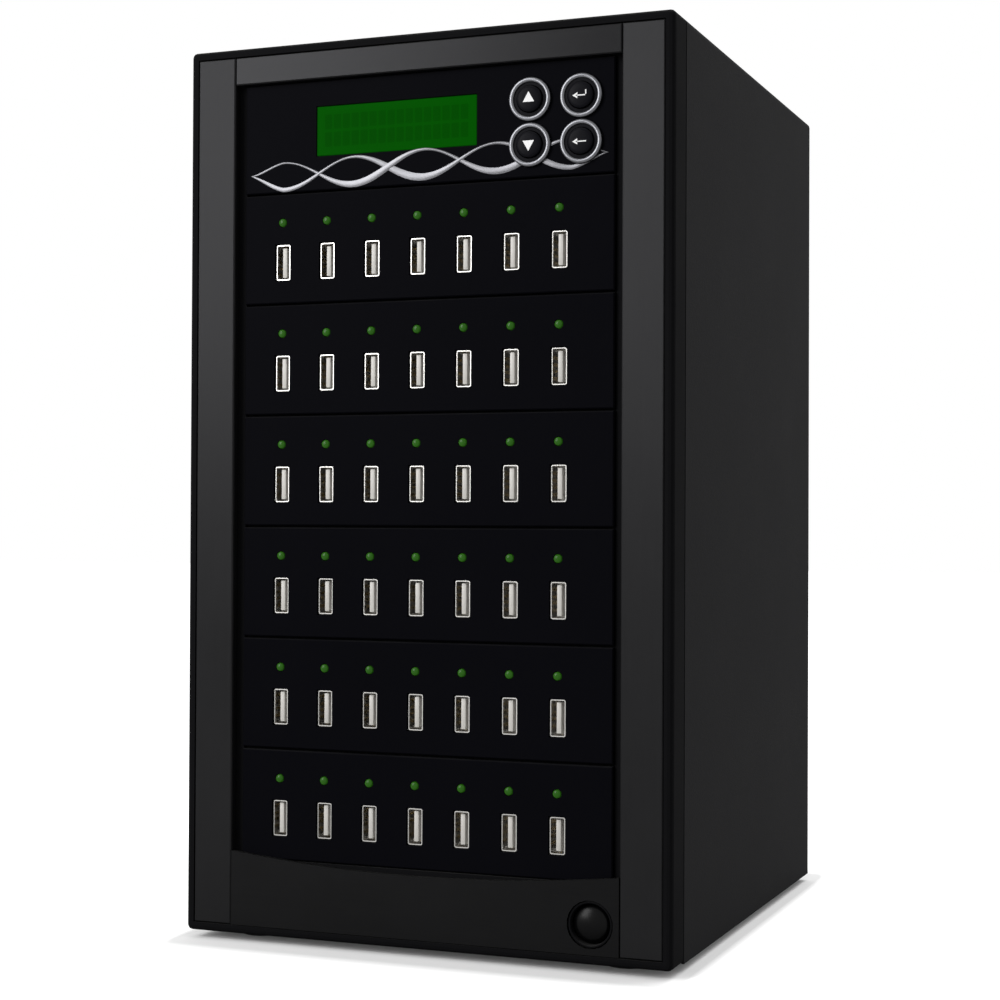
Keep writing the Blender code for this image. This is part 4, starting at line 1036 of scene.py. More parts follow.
    @classmethod
    def hollow(
        cls, piece: bpy.types.Object, facing: Point, wall: float, depth: float
    ) -> bpy.types.Object:
        """Sink a pocket into the flat faces that look one way.

        Args:
            piece: the piece to hollow.
            facing: the way that the faces look.
            wall: how much is left round the pocket.
            depth: how deep it goes.

        Returns:
            The piece.
        """
        cls._select_nothing(piece, "FACE")
        for face in piece.data.polygons:
            face.select = face.normal.dot(Vector(facing)) > ALONG_SHARE
        inwards = Vector(facing) * -depth
        with edit_mode():
            bpy.ops.mesh.inset(thickness=wall, depth=0)
            bpy.ops.mesh.extrude_region_move(TRANSFORM_OT_translate={"value": inwards})
        return piece

    @classmethod
    def cut(
        cls, piece: bpy.types.Object, tools: list[bpy.types.Object], operation: str = "DIFFERENCE"
    ) -> bpy.types.Object:
        """Cut tools out of a piece, or weld them to it, and throw the tools away.

        Args:
            piece: the piece to work on.
            tools: the tools.
            operation: the Boolean's operation.

        Returns:
            The piece.
        """
        for tool in tools:
            cls.modify(piece, "BOOLEAN", operation=operation, solver="EXACT", object=tool)
            bpy.data.objects.remove(tool, do_unlink=True)
        with edit_mode(selection="SELECT"):
            bpy.ops.mesh.remove_doubles(threshold=WELD_DISTANCE)
        return piece

    @staticmethod
    def copy(
        piece: bpy.types.Object, name: str, shift: Point = (0, 0, 0), turn: Matrix | None = None
    ) -> bpy.types.Object:
        """Copy a piece with its own mesh, turned and then shifted.

        Args:
            piece: the piece to copy.
            name: the copy's name.
            shift: how far it is moved.
            turn: how it is turned first, about the origin.

        Returns:
            The copy.
        """
        mesh = piece.data.copy()
        mesh.name = name
        mesh.transform(Matrix.Translation(shift) @ (turn or Matrix.Identity(4)))
        made = bpy.data.objects.new(name, mesh)
        bpy.context.scene.collection.objects.link(made)
        return made

    @classmethod
    def joined(cls, name: str, pieces: list[bpy.types.Object]) -> bpy.types.Object:
        """Join pieces of one finish into one object.

        Args:
            name: the piece's name.
            pieces: the pieces to join.

        Returns:
            The joined object.
        """
        cls.only(pieces[0])
        for piece in pieces[1:]:
            piece.select_set(True)
        bpy.ops.object.join()
        pieces[0].name = name
        pieces[0].data.name = name
        return pieces[0]

    @classmethod
    def repeated(cls, name: str, piece: bpy.types.Object, shifts: list[Point]) -> bpy.types.Object:
        """Replace a piece by joined copies of it, one at each shift.

        Args:
            name: the piece's name.
            piece: the piece to copy. It is removed.
            shifts: how far each copy is moved.

        Returns:
            The joined copies.
        """
        copies = [cls.copy(piece, f"{name}_{index}", shift) for index, shift in enumerate(shifts)]
        bpy.data.objects.remove(piece, do_unlink=True)
        return cls.joined(name, copies)


@dataclass
class Fitter:
    """Finishes modelled pieces and fixes them to the CAD bodies."""

    shelf: FinishShelf
    smooth_angle: float = math.radians(32)

    def fit(
        self,
        piece: bpy.types.Object,
        finish: str,
        body: Body = Body.CHASSIS,
        replaces: tuple[str, ...] = (),
    ) -> bpy.types.Object:
        """Give a piece its finish, its smoothing and its place in the frame.

        Args:
            piece: the piece.
            finish: the finish's name.
            body: the CAD body that it rides on.
            replaces: the CAD nodes that it stands for.

        Returns:
            The piece.
        """
        piece.data.materials.clear()
        piece.data.materials.append(self.shelf.take(finish))
        Workshop.only(piece)
        bpy.ops.object.shade_smooth_by_angle(angle=self.smooth_angle)
        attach(piece, body.value)
        if replaces:
            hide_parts(*replaces)
        LOG.info("%s: %d faces, %s", piece.name, len(piece.data.polygons), finish)
        return piece


@dataclass
class Plan:
    """Places that several sub-assemblies share, read from the CAD nodes."""

    row_count: int = 6
    column_count: int = 7
    port_pitch: float = 18.204 * MM
    row_middle: float = -2.5 * MM
    bay_pitch: float = 41.3 * MM
    port_rise: float = 15.6 * MM
    lamp_rise: float = 30.4 * MM

    def __post_init__(self) -> None:
        """Read the panel's face and the bays' ends."""
        low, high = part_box("control_panel")
        self.face: float = low.y
        self.bays_top: float = high.z + (self.bay_pitch - (high.z - low.z)) / 2
        self.panel_half: float = high.x

    def floor(self, row: int) -> float:
        """Height of a bay's lower end. Row 0 is the control panel."""
        return self.bays_top - (row + 1) * self.bay_pitch

    def columns(self) -> list[float]:
        """X of each socket in a row.

        Returns:
            The sockets' X, from the left.
        """
        middle = (self.column_count - 1) / 2
        numbers = range(self.column_count)
        return [self.row_middle + (column - middle) * self.port_pitch for column in numbers]


@dataclass
class PortRows:
    """The six rows of sockets, their lamps and the boards that carry them."""

    plan: Plan
    shell_width: float = 5.7 * MM
    shell_height: float = 13.1 * MM
    shell_wall: float = 0.35 * MM
    shell_corner: float = 0.7 * MM
    shell_recess: float = 0.8 * MM
    shell_length: float = 14 * MM
    pocket_depth: float = 9.2 * MM
    tongue_width: float = 11.1 * MM
    tongue_thickness: float = 1.84 * MM
    tongue_recess: float = 1.1 * MM
    tongue_soft: float = 0.3 * MM
    contact_size: tuple[float, float, float] = (0.12 * MM, 7.0 * MM, 1.0 * MM)
    contact_rises: tuple[float, ...] = (-3.5 * MM, -1.0 * MM, 1.0 * MM, 3.5 * MM)
    lamp_radius: float = 1.5 * MM
    lamp_dome: float = 0.7 * MM
    lamp_steps: int = 5
    lamp_sides: int = 20
    tail_sides: int = 10
    leg_rises: tuple[float, float] = (-5.7 * MM, 5.7 * MM)  # of the cans' own legs
    tail_profile: tuple[tuple[float, float], ...] = (
        (0, 1.3 * MM), (0.35 * MM, 1.2 * MM), (0.5 * MM, 0.4 * MM), (1 * MM, 0), (0, 0),
    )
    board_inset: float = 3 * MM
    board_side: float = 2.3 * MM
    board_thickness: float = 1.6 * MM
    board_corner: float = 1.2 * MM

    def build(self, fitter: Fitter) -> None:
        """Model one row, then copy it to every bay.

        Args:
            fitter: fixes the pieces.
        """
        mouth = self.plan.face + self.shell_recess
        parts = {
            "socket_shells": (self._shells(mouth), "socket_steel", "nickel_plate"),
            "socket_tongues": (self._tongues(mouth), "tongue_ivory", None),
            "socket_contacts": (self._contacts(mouth), "contact_gold", None),
            "row_lamps": (self._lamps(mouth), "lamp_lens", None),
            "port_board": (self._board(mouth), "board_mask", None),
            "solder_tails": (self._tails(mouth), "solder", None),
        }
        for row in range(1, self.plan.row_count + 1):
            shift = (0, 0, self.plan.floor(row))
            for name, (model, finish, slot) in parts.items():
                stands_for = (f"usb_port_board_{row}",) if name == "socket_shells" else ()
                piece = Workshop.copy(model, f"{name}_{row}", shift)
                fitter.fit(piece, finish, replaces=stands_for)
        for model, _, _ in parts.values():
            bpy.data.objects.remove(model, do_unlink=True)

    def _at_ports(self, name: str, piece: bpy.types.Object, rise: float) -> bpy.types.Object:
        """Repeat a piece at every socket of the row."""
        return Workshop.repeated(name, piece, [(x, 0, rise) for x in self.plan.columns()])

    def _shells(self, mouth: float) -> bpy.types.Object:
        """The steel cans, with rounded corners and a pocket.

        Args:
            mouth: Y of the sockets' mouths.

        Returns:
            The piece.
        """
        half, rise = self.shell_width / 2, self.shell_height / 2
        can = Workshop.block("can", (-half, mouth, -rise), (half, mouth + self.shell_length, rise))
        Workshop.round_along(can, 1, self.shell_corner, 3)
        Workshop.hollow(can, (0, -1, 0), self.shell_wall, self.pocket_depth)
        return self._at_ports("shell_model", can, self.plan.port_rise)

    def _tongues(self, mouth: float) -> bpy.types.Object:
        """The plastic tongues that carry the contacts.

        Args:
            mouth: Y of the sockets' mouths.

        Returns:
            The piece.
        """
        half, rise = self.tongue_thickness / 2, self.tongue_width / 2
        low = (-half, mouth + self.tongue_recess, -rise)
        high = (half, mouth + self.pocket_depth, rise)
        tongue = Workshop.block("tongue", low, high, self.tongue_soft)
        return self._at_ports("tongue_model", tongue, self.plan.port_rise)

    def _contacts(self, mouth: float) -> bpy.types.Object:
        """Four gold strips on one face of each tongue.

        Args:
            mouth: Y of the sockets' mouths.

        Returns:
            The piece.
        """
        thick, length, wide = self.contact_size
        x = -self.tongue_thickness / 2
        y = mouth + self.tongue_recess + wide
        strips = []
        for z in self.contact_rises:
            low, high = (x - thick, y, z - wide / 2), (x + thick, y + length, z + wide / 2)
            strips.append(Workshop.block(f"strip_{z}", low, high, thick / 2, 1))
        joined = Workshop.joined("strips", strips)
        return self._at_ports("contact_model", joined, self.plan.port_rise)

    def _lamps(self, mouth: float) -> bpy.types.Object:
        """Round-ended lamps that show in the panel's small holes.

        Args:
            mouth: Y of the sockets' mouths.

        Returns:
            The piece.
        """
        profile = dome_profile(self.lamp_radius, self.lamp_dome, self.lamp_steps)
        end = mouth + self.shell_length - self.plan.face + self.lamp_dome
        profile += [(self.lamp_radius, end), (0, end)]
        crown = (0, self.plan.face - self.lamp_dome, 0)
        lamp = Workshop.turned("lamp", profile, crown, self.lamp_sides)
        return self._at_ports("lamp_model", lamp, self.plan.lamp_rise)

    def _board(self, mouth: float) -> bpy.types.Object:
        """The circuit board behind the sockets.

        Args:
            mouth: Y of the sockets' mouths.

        Returns:
            The piece.
        """
        half = self.plan.panel_half - self.board_side
        front = mouth + self.shell_length
        low = (-half, front, self.board_inset)
        high = (half, front + self.board_thickness, self.plan.bay_pitch - self.board_inset)
        board = Workshop.block("board_model", low, high)
        return Workshop.round_along(board, 1, self.board_corner, 4)

    def _tails(self, mouth: float) -> bpy.types.Object:
        """The sockets' solder joints on the board's back.

        Args:
            mouth: Y of the sockets' mouths.

        Returns:
            The piece.
        """
        back = mouth + self.shell_length + self.board_thickness
        tail = Workshop.turned("tail", list(self.tail_profile), (0, back, 0), self.tail_sides)
        rises = self.contact_rises + self.leg_rises
        cluster = Workshop.repeated("tails", tail, [(0, 0, rise) for rise in rises])
        return self._at_ports("tail_model", cluster, self.plan.port_rise)


@dataclass
class GrooveShadeStrips:
    """Black strips behind the grooves between the bay panels, which keep light out: painted shade in
    the grooves.
    """

    plan: Plan
    depth: float = 1.0 * MM
    height: float = 3.6 * MM
    gap: float = 0.2 * MM
    panel_thickness: float = 3 * MM
    side_gap: float = 0.1 * MM
    soft: float = 0.15 * MM

    def build(self, fitter: Fitter) -> None:
        """Put a strip behind every groove.

        Args:
            fitter: fixes the pieces.
        """
        start = self.plan.face + self.panel_thickness + self.gap
        half = self.plan.panel_half - self.side_gap
        for row in range(self.plan.row_count + 1):
            z = self.plan.floor(row)
            below = self.height / 2 if row < self.plan.row_count else 0
            high = (half, start + self.depth, z + self.height / 2)
            strip = Workshop.block(f"groove_shade_strip_{row}", (-half, start, z - below), high, self.soft, 1)
            fitter.fit(strip, "painted_groove_shade")


class Pictogram(Enum):
    """The plain sign on each control button."""

    UP = "up"
    DOWN = "down"
    ENTER = "enter"
    BACK = "back"


@dataclass
class ControlButtons:
    """Four round buttons in bright rings, with plain signs."""

    ring_radius: float = 7.9 * MM
    bead_width: float = 1.9 * MM
    stand: float = 1.2 * MM
    sink: float = 0.75 * MM  # of the dark sleeve behind the bead's crown
    bead_steps: int = 12
    bead_power: float = 0.6  # under 1 for a face that is fuller than a half circle
    cap_share: float = 0.62  # of the ring's radius, at the sleeve's bore
    sleeve_share: float = 0.785  # of it, at the sleeve's outside
    flange_share: float = 0.734  # of it, at the cap's flange
    collar_soft: float = 0.15 * MM
    collar_lap: float = 0.1 * MM  # of the sleeve under the bead
    clearance: float = 0.3 * MM
    cap_face: tuple[tuple[float, float], ...] = (  # shares of its radius, and how far back
        (0, 0), (0.5, 0.04 * MM), (0.8, 0.14 * MM), (0.93, 0.28 * MM), (1, 0.6 * MM),
    )
    flange_thickness: float = MM
    stem_radius: float = 1.8 * MM
    triangle_radius: float = 2.5 * MM
    sign_proud: float = 0.02 * MM
    sign_sink: float = 0.22 * MM
    head_place: tuple[float, float] = (-1.5 * MM, -0.3 * MM)  # X and Z of an arrow's head
    head_radius: float = 1.25 * MM
    bar_width: float = 0.42 * MM
    shaft: tuple[float, ...] = (-1.2 * MM, -0.3 * MM, 2.2 * MM, -0.3 * MM)  # X and Z of its two ends
    hook: tuple[float, ...] = (2.2 * MM, -0.3 * MM, 2.2 * MM, 1.3 * MM)  # the bent arrow's upright
    sides: int = 64

    def build(self, fitter: Fitter) -> None:
        """Model each ring, cap and sign where its CAD node is.

        Args:
            fitter: fixes the pieces.
        """
        for sign in Pictogram:
            ring_low, ring_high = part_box(f"button_ring_{sign.value}")
            cap_low, cap_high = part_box(f"button_{sign.value}")
            middle = (ring_low + ring_high) / 2
            centre = Vector((middle.x, ring_low.y, middle.z))
            front = Vector((middle.x, cap_low.y, middle.z))
            body = Body[sign.name]
            ring = self._ring(sign, centre)
            stands_for = (f"button_ring_{sign.value}",)
            fitter.fit(ring, "turned_silver", replaces=stands_for)
            collar = self._collar(sign, centre, ring_high.y - ring_low.y)
            fitter.fit(collar, "key_satin")
            cap = self._cap(sign, front, ring_high.y, cap_high.y)
            fitter.fit(cap, "key_satin", body, (f"button_{sign.value}",))
            fitter.fit(self._sign(sign, front), "sign_white", body)

    def _ring(self, sign: Pictogram, centre: Vector) -> bpy.types.Object:
        """A bright bead with a rounded face that lies on the panel.

        Args:
            sign: the button's sign.
            centre: the middle of the ring's front.

        Returns:
            The piece.
        """
        outer, bore = self.ring_radius, self.ring_radius - self.bead_width
        middle, reach = (outer + bore) / 2, (outer - bore) / 2
        profile = []
        for step in range(self.bead_steps + 1):
            angle = math.pi * step / self.bead_steps
            back = self.stand * (1 - math.sin(angle) ** self.bead_power)
            profile.append((middle - reach * math.cos(angle), back))
        profile += [profile[0]]
        return Workshop.turned(f"ring_{sign.value}", profile, tuple(centre), self.sides)

    def _collar(self, sign: Pictogram, centre: Vector, length: float) -> bpy.types.Object:
        """The dark sleeve inside the bead, which runs through the panel round the cap.

        Args:
            sign: the button's sign.
            centre: the middle of the ring's front.
            length: how far back the sleeve goes.

        Returns:
            The piece.
        """
        bore, sleeve = self.cap_share * self.ring_radius, self.sleeve_share * self.ring_radius
        outer, soft = self.ring_radius - self.bead_width + self.collar_lap, self.collar_soft
        profile = [(bore, self.sink + soft), (bore + soft, self.sink), (outer, self.sink)]
        profile += [(outer, self.stand), (sleeve, self.stand), (sleeve, length), (bore, length)]
        profile += [profile[0]]
        return Workshop.turned(f"sleeve_{sign.value}", profile, tuple(centre), self.sides)

    def _cap(self, sign: Pictogram, front: Vector, flange: float, end: float) -> bpy.types.Object:
        """A cap with a soft edge and a faint crown, its flange and its stem.

        Args:
            sign: the button's sign.
            front: the middle of the cap's front.
            flange: Y of the ring's rear end, behind which the cap's flange lies.
            end: Y of the stem's rear end.

        Returns:
            The piece.
        """
        radius = self.cap_share * self.ring_radius - self.clearance
        wide = self.flange_share * self.ring_radius
        near = flange + self.clearance - front.y
        far = near + self.flange_thickness
        profile = [(radius * share, back) for share, back in self.cap_face]
        profile += [(radius, near), (wide, near), (wide, far), (self.stem_radius, far)]
        profile += [(self.stem_radius, end - front.y), (0, end - front.y)]
        return Workshop.turned(f"cap_{sign.value}", profile, tuple(front), self.sides)

    def _sign(self, sign: Pictogram, front: Vector) -> bpy.types.Object:
        """A raised white sign on the cap's crown.

        Args:
            sign: the button's sign.
            front: the middle of the cap's front.

        Returns:
            The piece.
        """
        name = f"sign_{sign.value}"
        span = (front.y - self.sign_proud, front.y + self.sign_sink)
        if sign in (Pictogram.UP, Pictogram.DOWN):
            turn = math.pi / 2 if sign is Pictogram.UP else -math.pi / 2
            return self._triangle(name, front, self.triangle_radius, turn, span)
        head = front + Vector((self.head_place[0], 0, self.head_place[1]))
        pieces = [self._triangle(name, head, self.head_radius, math.pi, span)]
        bars = [self.shaft, self.hook] if sign is Pictogram.ENTER else [self.shaft]
        half = self.bar_width / 2
        for number, (x0, z0, x1, z1) in enumerate(bars):
            low = (front.x + x0 - half, span[0], front.z + z0 - half)
            high = (front.x + x1 + half, span[1], front.z + z1 + half)
            pieces.append(Workshop.block(f"{name}_bar_{number}", low, high))
        return Workshop.joined(name, pieces)

    @staticmethod
    def _triangle(
        name: str, centre: Vector, radius: float, turn: float, span: tuple[float, float]
    ) -> bpy.types.Object:
        """A three-sided plate whose tip points along turn, in the panel's plane.

        Args:
            name: the piece's name.
            centre: its middle, whose X and Z count.
            radius: from its middle to a tip.
            turn: where its tip points, as an angle from +X towards +Z.
            span: Y of its front and rear.

        Returns:
            The piece.
        """
        tip = Workshop.rod(name, (0, 0, 0), radius, *span, 3)
        spin = Matrix.Rotation(-turn - math.pi / 2 + math.pi, 4, "Y")
        tip.data.transform(Matrix.Translation((centre.x, 0, centre.z)) @ spin)
        return tip


@dataclass
class Ribbons:
    """Two silver strands that wind round each other, under the display and the buttons."""

    plan: Plan
    clear_radius: float = 6.9 * MM
    half_length: float = 70.5 * MM
    rise: float = 7.3 * MM
    swing: float = 5.0 * MM
    wave: float = 56.4 * MM  # 2.5 waves from end to end
    phase: float = math.pi / 2  # which makes the strands meet at both ends
    strand_half: float = 1.35 * MM
    strand_height: float = 0.16 * MM
    lift: float = 0.06 * MM
    drift: float = 1.0 * MM  # a slow rise and fall of both strands
    drift_rate: float = 0.31
    drift_phase: float = 0.6
    opening: float = 1.7  # how soon the strands reach their full swing
    tip_width: float = 0.04  # shares of the width and height that are left at the tips
    tip_height: float = 0.3
    mean_width: float = 0.66  # about which the width varies
    sunk: float = 0.02 * MM
    skin: float = 0.04 * MM
    cutter: float = 2 * MM  # a hole's reach before and behind the panel's face
    hole_sides: int = 48
    steps: int = 260
    across: int = 6

    def build(self, fitter: Fitter) -> None:
        """Model both strands.

        Args:
            fitter: fixes the pieces.
        """
        for name, side in (("ribbon_first", 1), ("ribbon_second", -1)):
            fitter.fit(Workshop.cut(self._strand(name, side), self._holes()), "ribbon_silver")

    def _holes(self) -> list[bpy.types.Object]:
        """Round cutters, one where each button is.

        Returns:
            The cutters.
        """
        holes = []
        for sign in Pictogram:
            low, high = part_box(f"button_ring_{sign.value}")
            near, far = self.plan.face - self.cutter, self.plan.face + self.cutter
            middle = (low + high) / 2
            holes.append(Workshop.rod("hole", middle, self.clear_radius, near, far, self.hole_sides))
        return holes

    def _strand(self, name: str, side: int) -> bpy.types.Object:
        """Bend a grid into one strand.

        Args:
            name: the strand's name.
            side: 1 or -1, for its phase.

        Returns:
            The strand.
        """
        clear_selection()
        grid = {"x_subdivisions": self.steps, "y_subdivisions": self.across, "size": 2}
        bpy.ops.mesh.primitive_grid_add(**grid)
        piece = bpy.context.active_object
        piece.name = name
        piece.data.name = name
        base = self.plan.floor(0) + self.rise
        for spot in piece.data.vertices:
            along, over = spot.co.x, spot.co.y
            ends = (1 - along * along) ** 0.5 if abs(along) < 1 else 0.0
            turn = math.tau * along * self.half_length / self.wave
            phased = turn + self.phase
            drift = self.drift * math.sin(turn * self.drift_rate + self.drift_phase)
            sway = side * self.swing * math.sin(phased) + drift
            middle = base + sway * min(1.0, ends * self.opening)
            slope = side * self.swing * math.cos(phased) * math.tau / self.wave
            stretch = math.sqrt(1 + slope * slope)
            swell = self.mean_width + (1 - self.mean_width) * math.cos(phased + side)
            width = self.strand_half * (self.tip_width + (1 - self.tip_width) * ends) * swell
            crown = max(0.0, 1 - over * over)
            height = self.strand_height * crown * (self.tip_height + (1 - self.tip_height) * ends)
            weave = self.lift * (1 + side * math.cos(phased))
            spot.co = (
                along * self.half_length - over * width * slope / stretch,
                self.plan.face - self.sunk - weave - height,
                middle + over * width / stretch,
            )
        Workshop.only(piece)
        with edit_mode(selection="SELECT"):
            bpy.ops.mesh.normals_make_consistent(inside=False)
        if piece.data.polygons[0].normal.y > 0:
            piece.data.flip_normals()
        return Workshop.modify(piece, "SOLIDIFY", thickness=self.skin, offset=-1)


@dataclass
class PowerButton:
    """The glossy dome in its round cup."""

    dome_share: float = 0.5  # of the radius
    rear_soft: float = 0.4 * MM
    clearance: float = 0.3 * MM
    lip: float = 0.25 * MM
    lip_inner: float = 0.2 * MM
    lip_rear: float = 0.3 * MM
    wall: float = 0.9 * MM
    hole_radius: float = 2 * MM
    dome_steps: int = 12
    sides: int = 96

    def build(self, fitter: Fitter) -> None:
        """Model the dome and the cup where their CAD nodes are.

        Args:
            fitter: fixes the pieces.
        """
        low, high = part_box("power_button")
        centre = (low + high) / 2
        radius = (high.x - low.x) / 2
        deep, soft = high.y - low.y, self.rear_soft
        profile = dome_profile(radius, self.dome_share * radius, self.dome_steps)
        profile += [(radius, deep - soft), (radius - soft, deep), (0, deep)]
        button = Workshop.turned("power_dome", profile, (centre.x, low.y, centre.z), self.sides)
        fitter.fit(button, "button_gloss", Body.POWER, ("power_button",))
        cup_low, cup_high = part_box("power_switch")
        bore, outer = radius + self.clearance, (cup_high.x - cup_low.x) / 2
        length, lip, hole = cup_high.y - cup_low.y, self.lip, self.hole_radius
        ring = [(bore, lip), (bore + self.lip_inner, 0), (outer - lip, 0), (outer, self.lip_rear)]
        ring += [(outer, length), (hole, length), (hole, length - self.wall)]
        ring += [(bore, length - self.wall), ring[0]]
        cup = Workshop.turned("power_cup", ring, (centre.x, cup_low.y, centre.z), self.sides)
        fitter.fit(cup, "moulded_black", replaces=("power_switch",))


@dataclass
class DisplayCells:
    """The faint character fields of a two-line display, on the green window."""

    across: int = 16
    down: int = 2
    cell_width: float = 2.9 * MM
    cell_height: float = 5.4 * MM
    pitch_x: float = 3.62 * MM
    pitch_z: float = 6.5 * MM
    proud: float = 0.03 * MM
    corner: float = 0.25 * MM

    def build(self, fitter: Fitter) -> None:
        """Lay the cells on the window's face.

        Args:
            fitter: fixes the pieces.
        """
        low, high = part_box("lcd_window")
        middle = (low + high) / 2
        half, rise = self.cell_width / 2, self.cell_height / 2
        y = low.y - self.proud
        cell = Workshop.block("cell", (-half, y, -rise), (half, low.y + self.proud, rise))
        Workshop.round_along(cell, 1, self.corner, 1)
        columns = [(column - (self.across - 1) / 2) * self.pitch_x for column in range(self.across)]
        rows = [(row - (self.down - 1) / 2) * self.pitch_z for row in range(self.down)]
        places = [(middle.x + x, 0, middle.z + z) for z in rows for x in columns]
        cells = Workshop.repeated("display_cells", cell, places)
        fitter.fit(cells, "display_cell")


@dataclass
class RearFan:
    """One axial fan's wheel and the welded wire guard over it."""

    prefix: str
    body: Body
    hub_radius: float = 17 * MM
    tip_radius: float = 36 * MM
    shaft_radius: float = 1.5 * MM
    shaft_length: float = 3 * MM
    blade_count: int = 7
    blade_span: float = math.radians(40)
    blade_sweep: float = math.radians(15)
    blade_rise: float = 7.4 * MM
    blade_camber: float = 1.6 * MM
    blade_thickness: float = 1.3 * MM
    blade_steps: int = 8
    blade_sink: float = 0.6 * MM  # of its root in the hub
    blade_relief: float = 0.28  # how much flatter it is at its tip
    blade_soft: float = 0.3 * MM
    hub_soft: float = 0.4 * MM
    hub_rear: tuple[tuple[float, float], ...] = (  # inwards from its rim, forwards from its rear
        (0, 1.1 * MM), (0.35 * MM, 0.35 * MM), (1.1 * MM, 0), (3.4 * MM, 0), (3.8 * MM, 0.5 * MM),
    )
    wire: float = 0.7 * MM
    wire_soft: float = 0.2 * MM
    hub_sides: int = 72
    hoop_sides: tuple[int, int] = (96, 12)  # round the ring and round its wire
    eye_sides: tuple[int, int] = (28, 10)
    spoke_sides: int = 12
    layer: float = 0.8 * MM  # of each wire layer's middle, from the guard's nearer face
    hoops: tuple[float, ...] = (13.7 * MM, 25.1 * MM, 36.5 * MM)
    eye: float = 3.2 * MM
    corner: float = 35.75 * MM

    def build(self, fitter: Fitter) -> None:
        """Model the wheel and the guard where their CAD nodes are.

        Args:
            fitter: fixes the pieces.
        """
        low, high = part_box(f"{self.prefix}_fan_frame")
        centre = (low + high) / 2
        rotor, guard = f"{self.prefix}_fan_rotor", f"{self.prefix}_fan_guard"
        fitter.fit(self._wheel(centre), "fan_black", self.body, (rotor,))
        fitter.fit(self._guard(centre), "guard_wire", replaces=(guard,))

    def eye_places(self, centre: Vector, y: float) -> list[Point]:
        """Where the guard's four eyes are, at one depth."""
        sides = (-self.corner, self.corner)
        return [(centre.x + x, y, centre.z + z) for x in sides for z in sides]

    def _wheel(self, centre: Vector) -> bpy.types.Object:
        """A hub with a soft rim and a shallow face, and curved blades round it.

        Args:
            centre: the middle of the fan's frame.

        Returns:
            The piece.
        """
        low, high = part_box(f"{self.prefix}_fan_rotor")
        length = high.y - low.y
        rim, shaft, front = self.hub_radius, self.shaft_radius, self.shaft_length
        profile = [(0, 0), (shaft, 0), (shaft, front), (rim - self.hub_soft, front)]
        profile += [(rim, front + self.hub_soft)]
        profile += [(rim - inward, length - forward) for inward, forward in self.hub_rear]
        profile += [(0, profile[-1][1])]
        place = (centre.x, low.y, centre.z)
        hub = Workshop.turned(f"{self.prefix}_wheel", profile, place, self.hub_sides)
        middle = low.y + (self.shaft_length + length) / 2
        blade = self._blade()
        pieces = [hub]
        for number in range(self.blade_count):
            turn = Matrix.Rotation(number * math.tau / self.blade_count, 4, "Y")
            pieces.append(Workshop.copy(blade, f"blade_{number}", (centre.x, middle, centre.z), turn))
        bpy.data.objects.remove(blade, do_unlink=True)
        return Workshop.joined(f"{self.prefix}_wheel", pieces)

    def _blade(self) -> bpy.types.Object:
        """One blade about the origin, bent from a grid into a twisted, cambered sheet.

        Returns:
            The piece.
        """
        clear_selection()
        steps = self.blade_steps
        bpy.ops.mesh.primitive_grid_add(x_subdivisions=steps, y_subdivisions=steps, size=2)
        piece = bpy.context.active_object
        root = self.hub_radius - self.blade_sink
        for spot in piece.data.vertices:
            out, along = (spot.co.x + 1) / 2, spot.co.y
            radius = root + out * (self.tip_radius - root)
            angle = self.blade_sweep * out * out + along * self.blade_span / 2
            rise = -along * self.blade_rise * (1 - self.blade_relief * out)
            bulge = self.blade_camber * (1 - along * along)
            spot.co = (radius * math.cos(angle), rise + bulge, radius * math.sin(angle))
        Workshop.modify(piece, "SOLIDIFY", thickness=self.blade_thickness, offset=0)
        return Workshop.soften(piece, self.blade_soft, 2)

    def _guard(self, centre: Vector) -> bpy.types.Object:
        """Three hoops on four spokes, each spoke bent round into an eye.

        Args:
            centre: the middle of the fan's frame.

        Returns:
            The piece.
        """
        low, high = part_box(f"{self.prefix}_fan_guard")
        outer = (centre.x, high.y - self.layer, centre.z)
        pieces = [
            Workshop.hoop(f"hoop_{index}", outer, radius, self.wire, *self.hoop_sides)
            for index, radius in enumerate(self.hoops)
        ]
        y = low.y + self.layer
        near, reach = self.hoops[0] - self.wire, self.corner * math.sqrt(2) - self.eye
        for number in range(4):
            turn = Matrix.Rotation((number + 0.5) * math.tau / 4, 4, "Y")
            sides, soft = self.spoke_sides, self.wire_soft
            spoke = Workshop.rod("spoke", (0, 0, 0), self.wire, near, reach, sides, soft)
            spoke.data.transform(turn @ Matrix.Rotation(-math.pi / 2, 4, "Z"))
            pieces.append(Workshop.copy(spoke, f"spoke_{number}", (centre.x, y, centre.z)))
            bpy.data.objects.remove(spoke, do_unlink=True)
        for spot in self.eye_places(centre, y):
            name = f"eye_{len(pieces)}"
            pieces.append(Workshop.hoop(name, spot, self.eye, self.wire, *self.eye_sides))
        return Workshop.joined(f"{self.prefix}_guard", pieces)


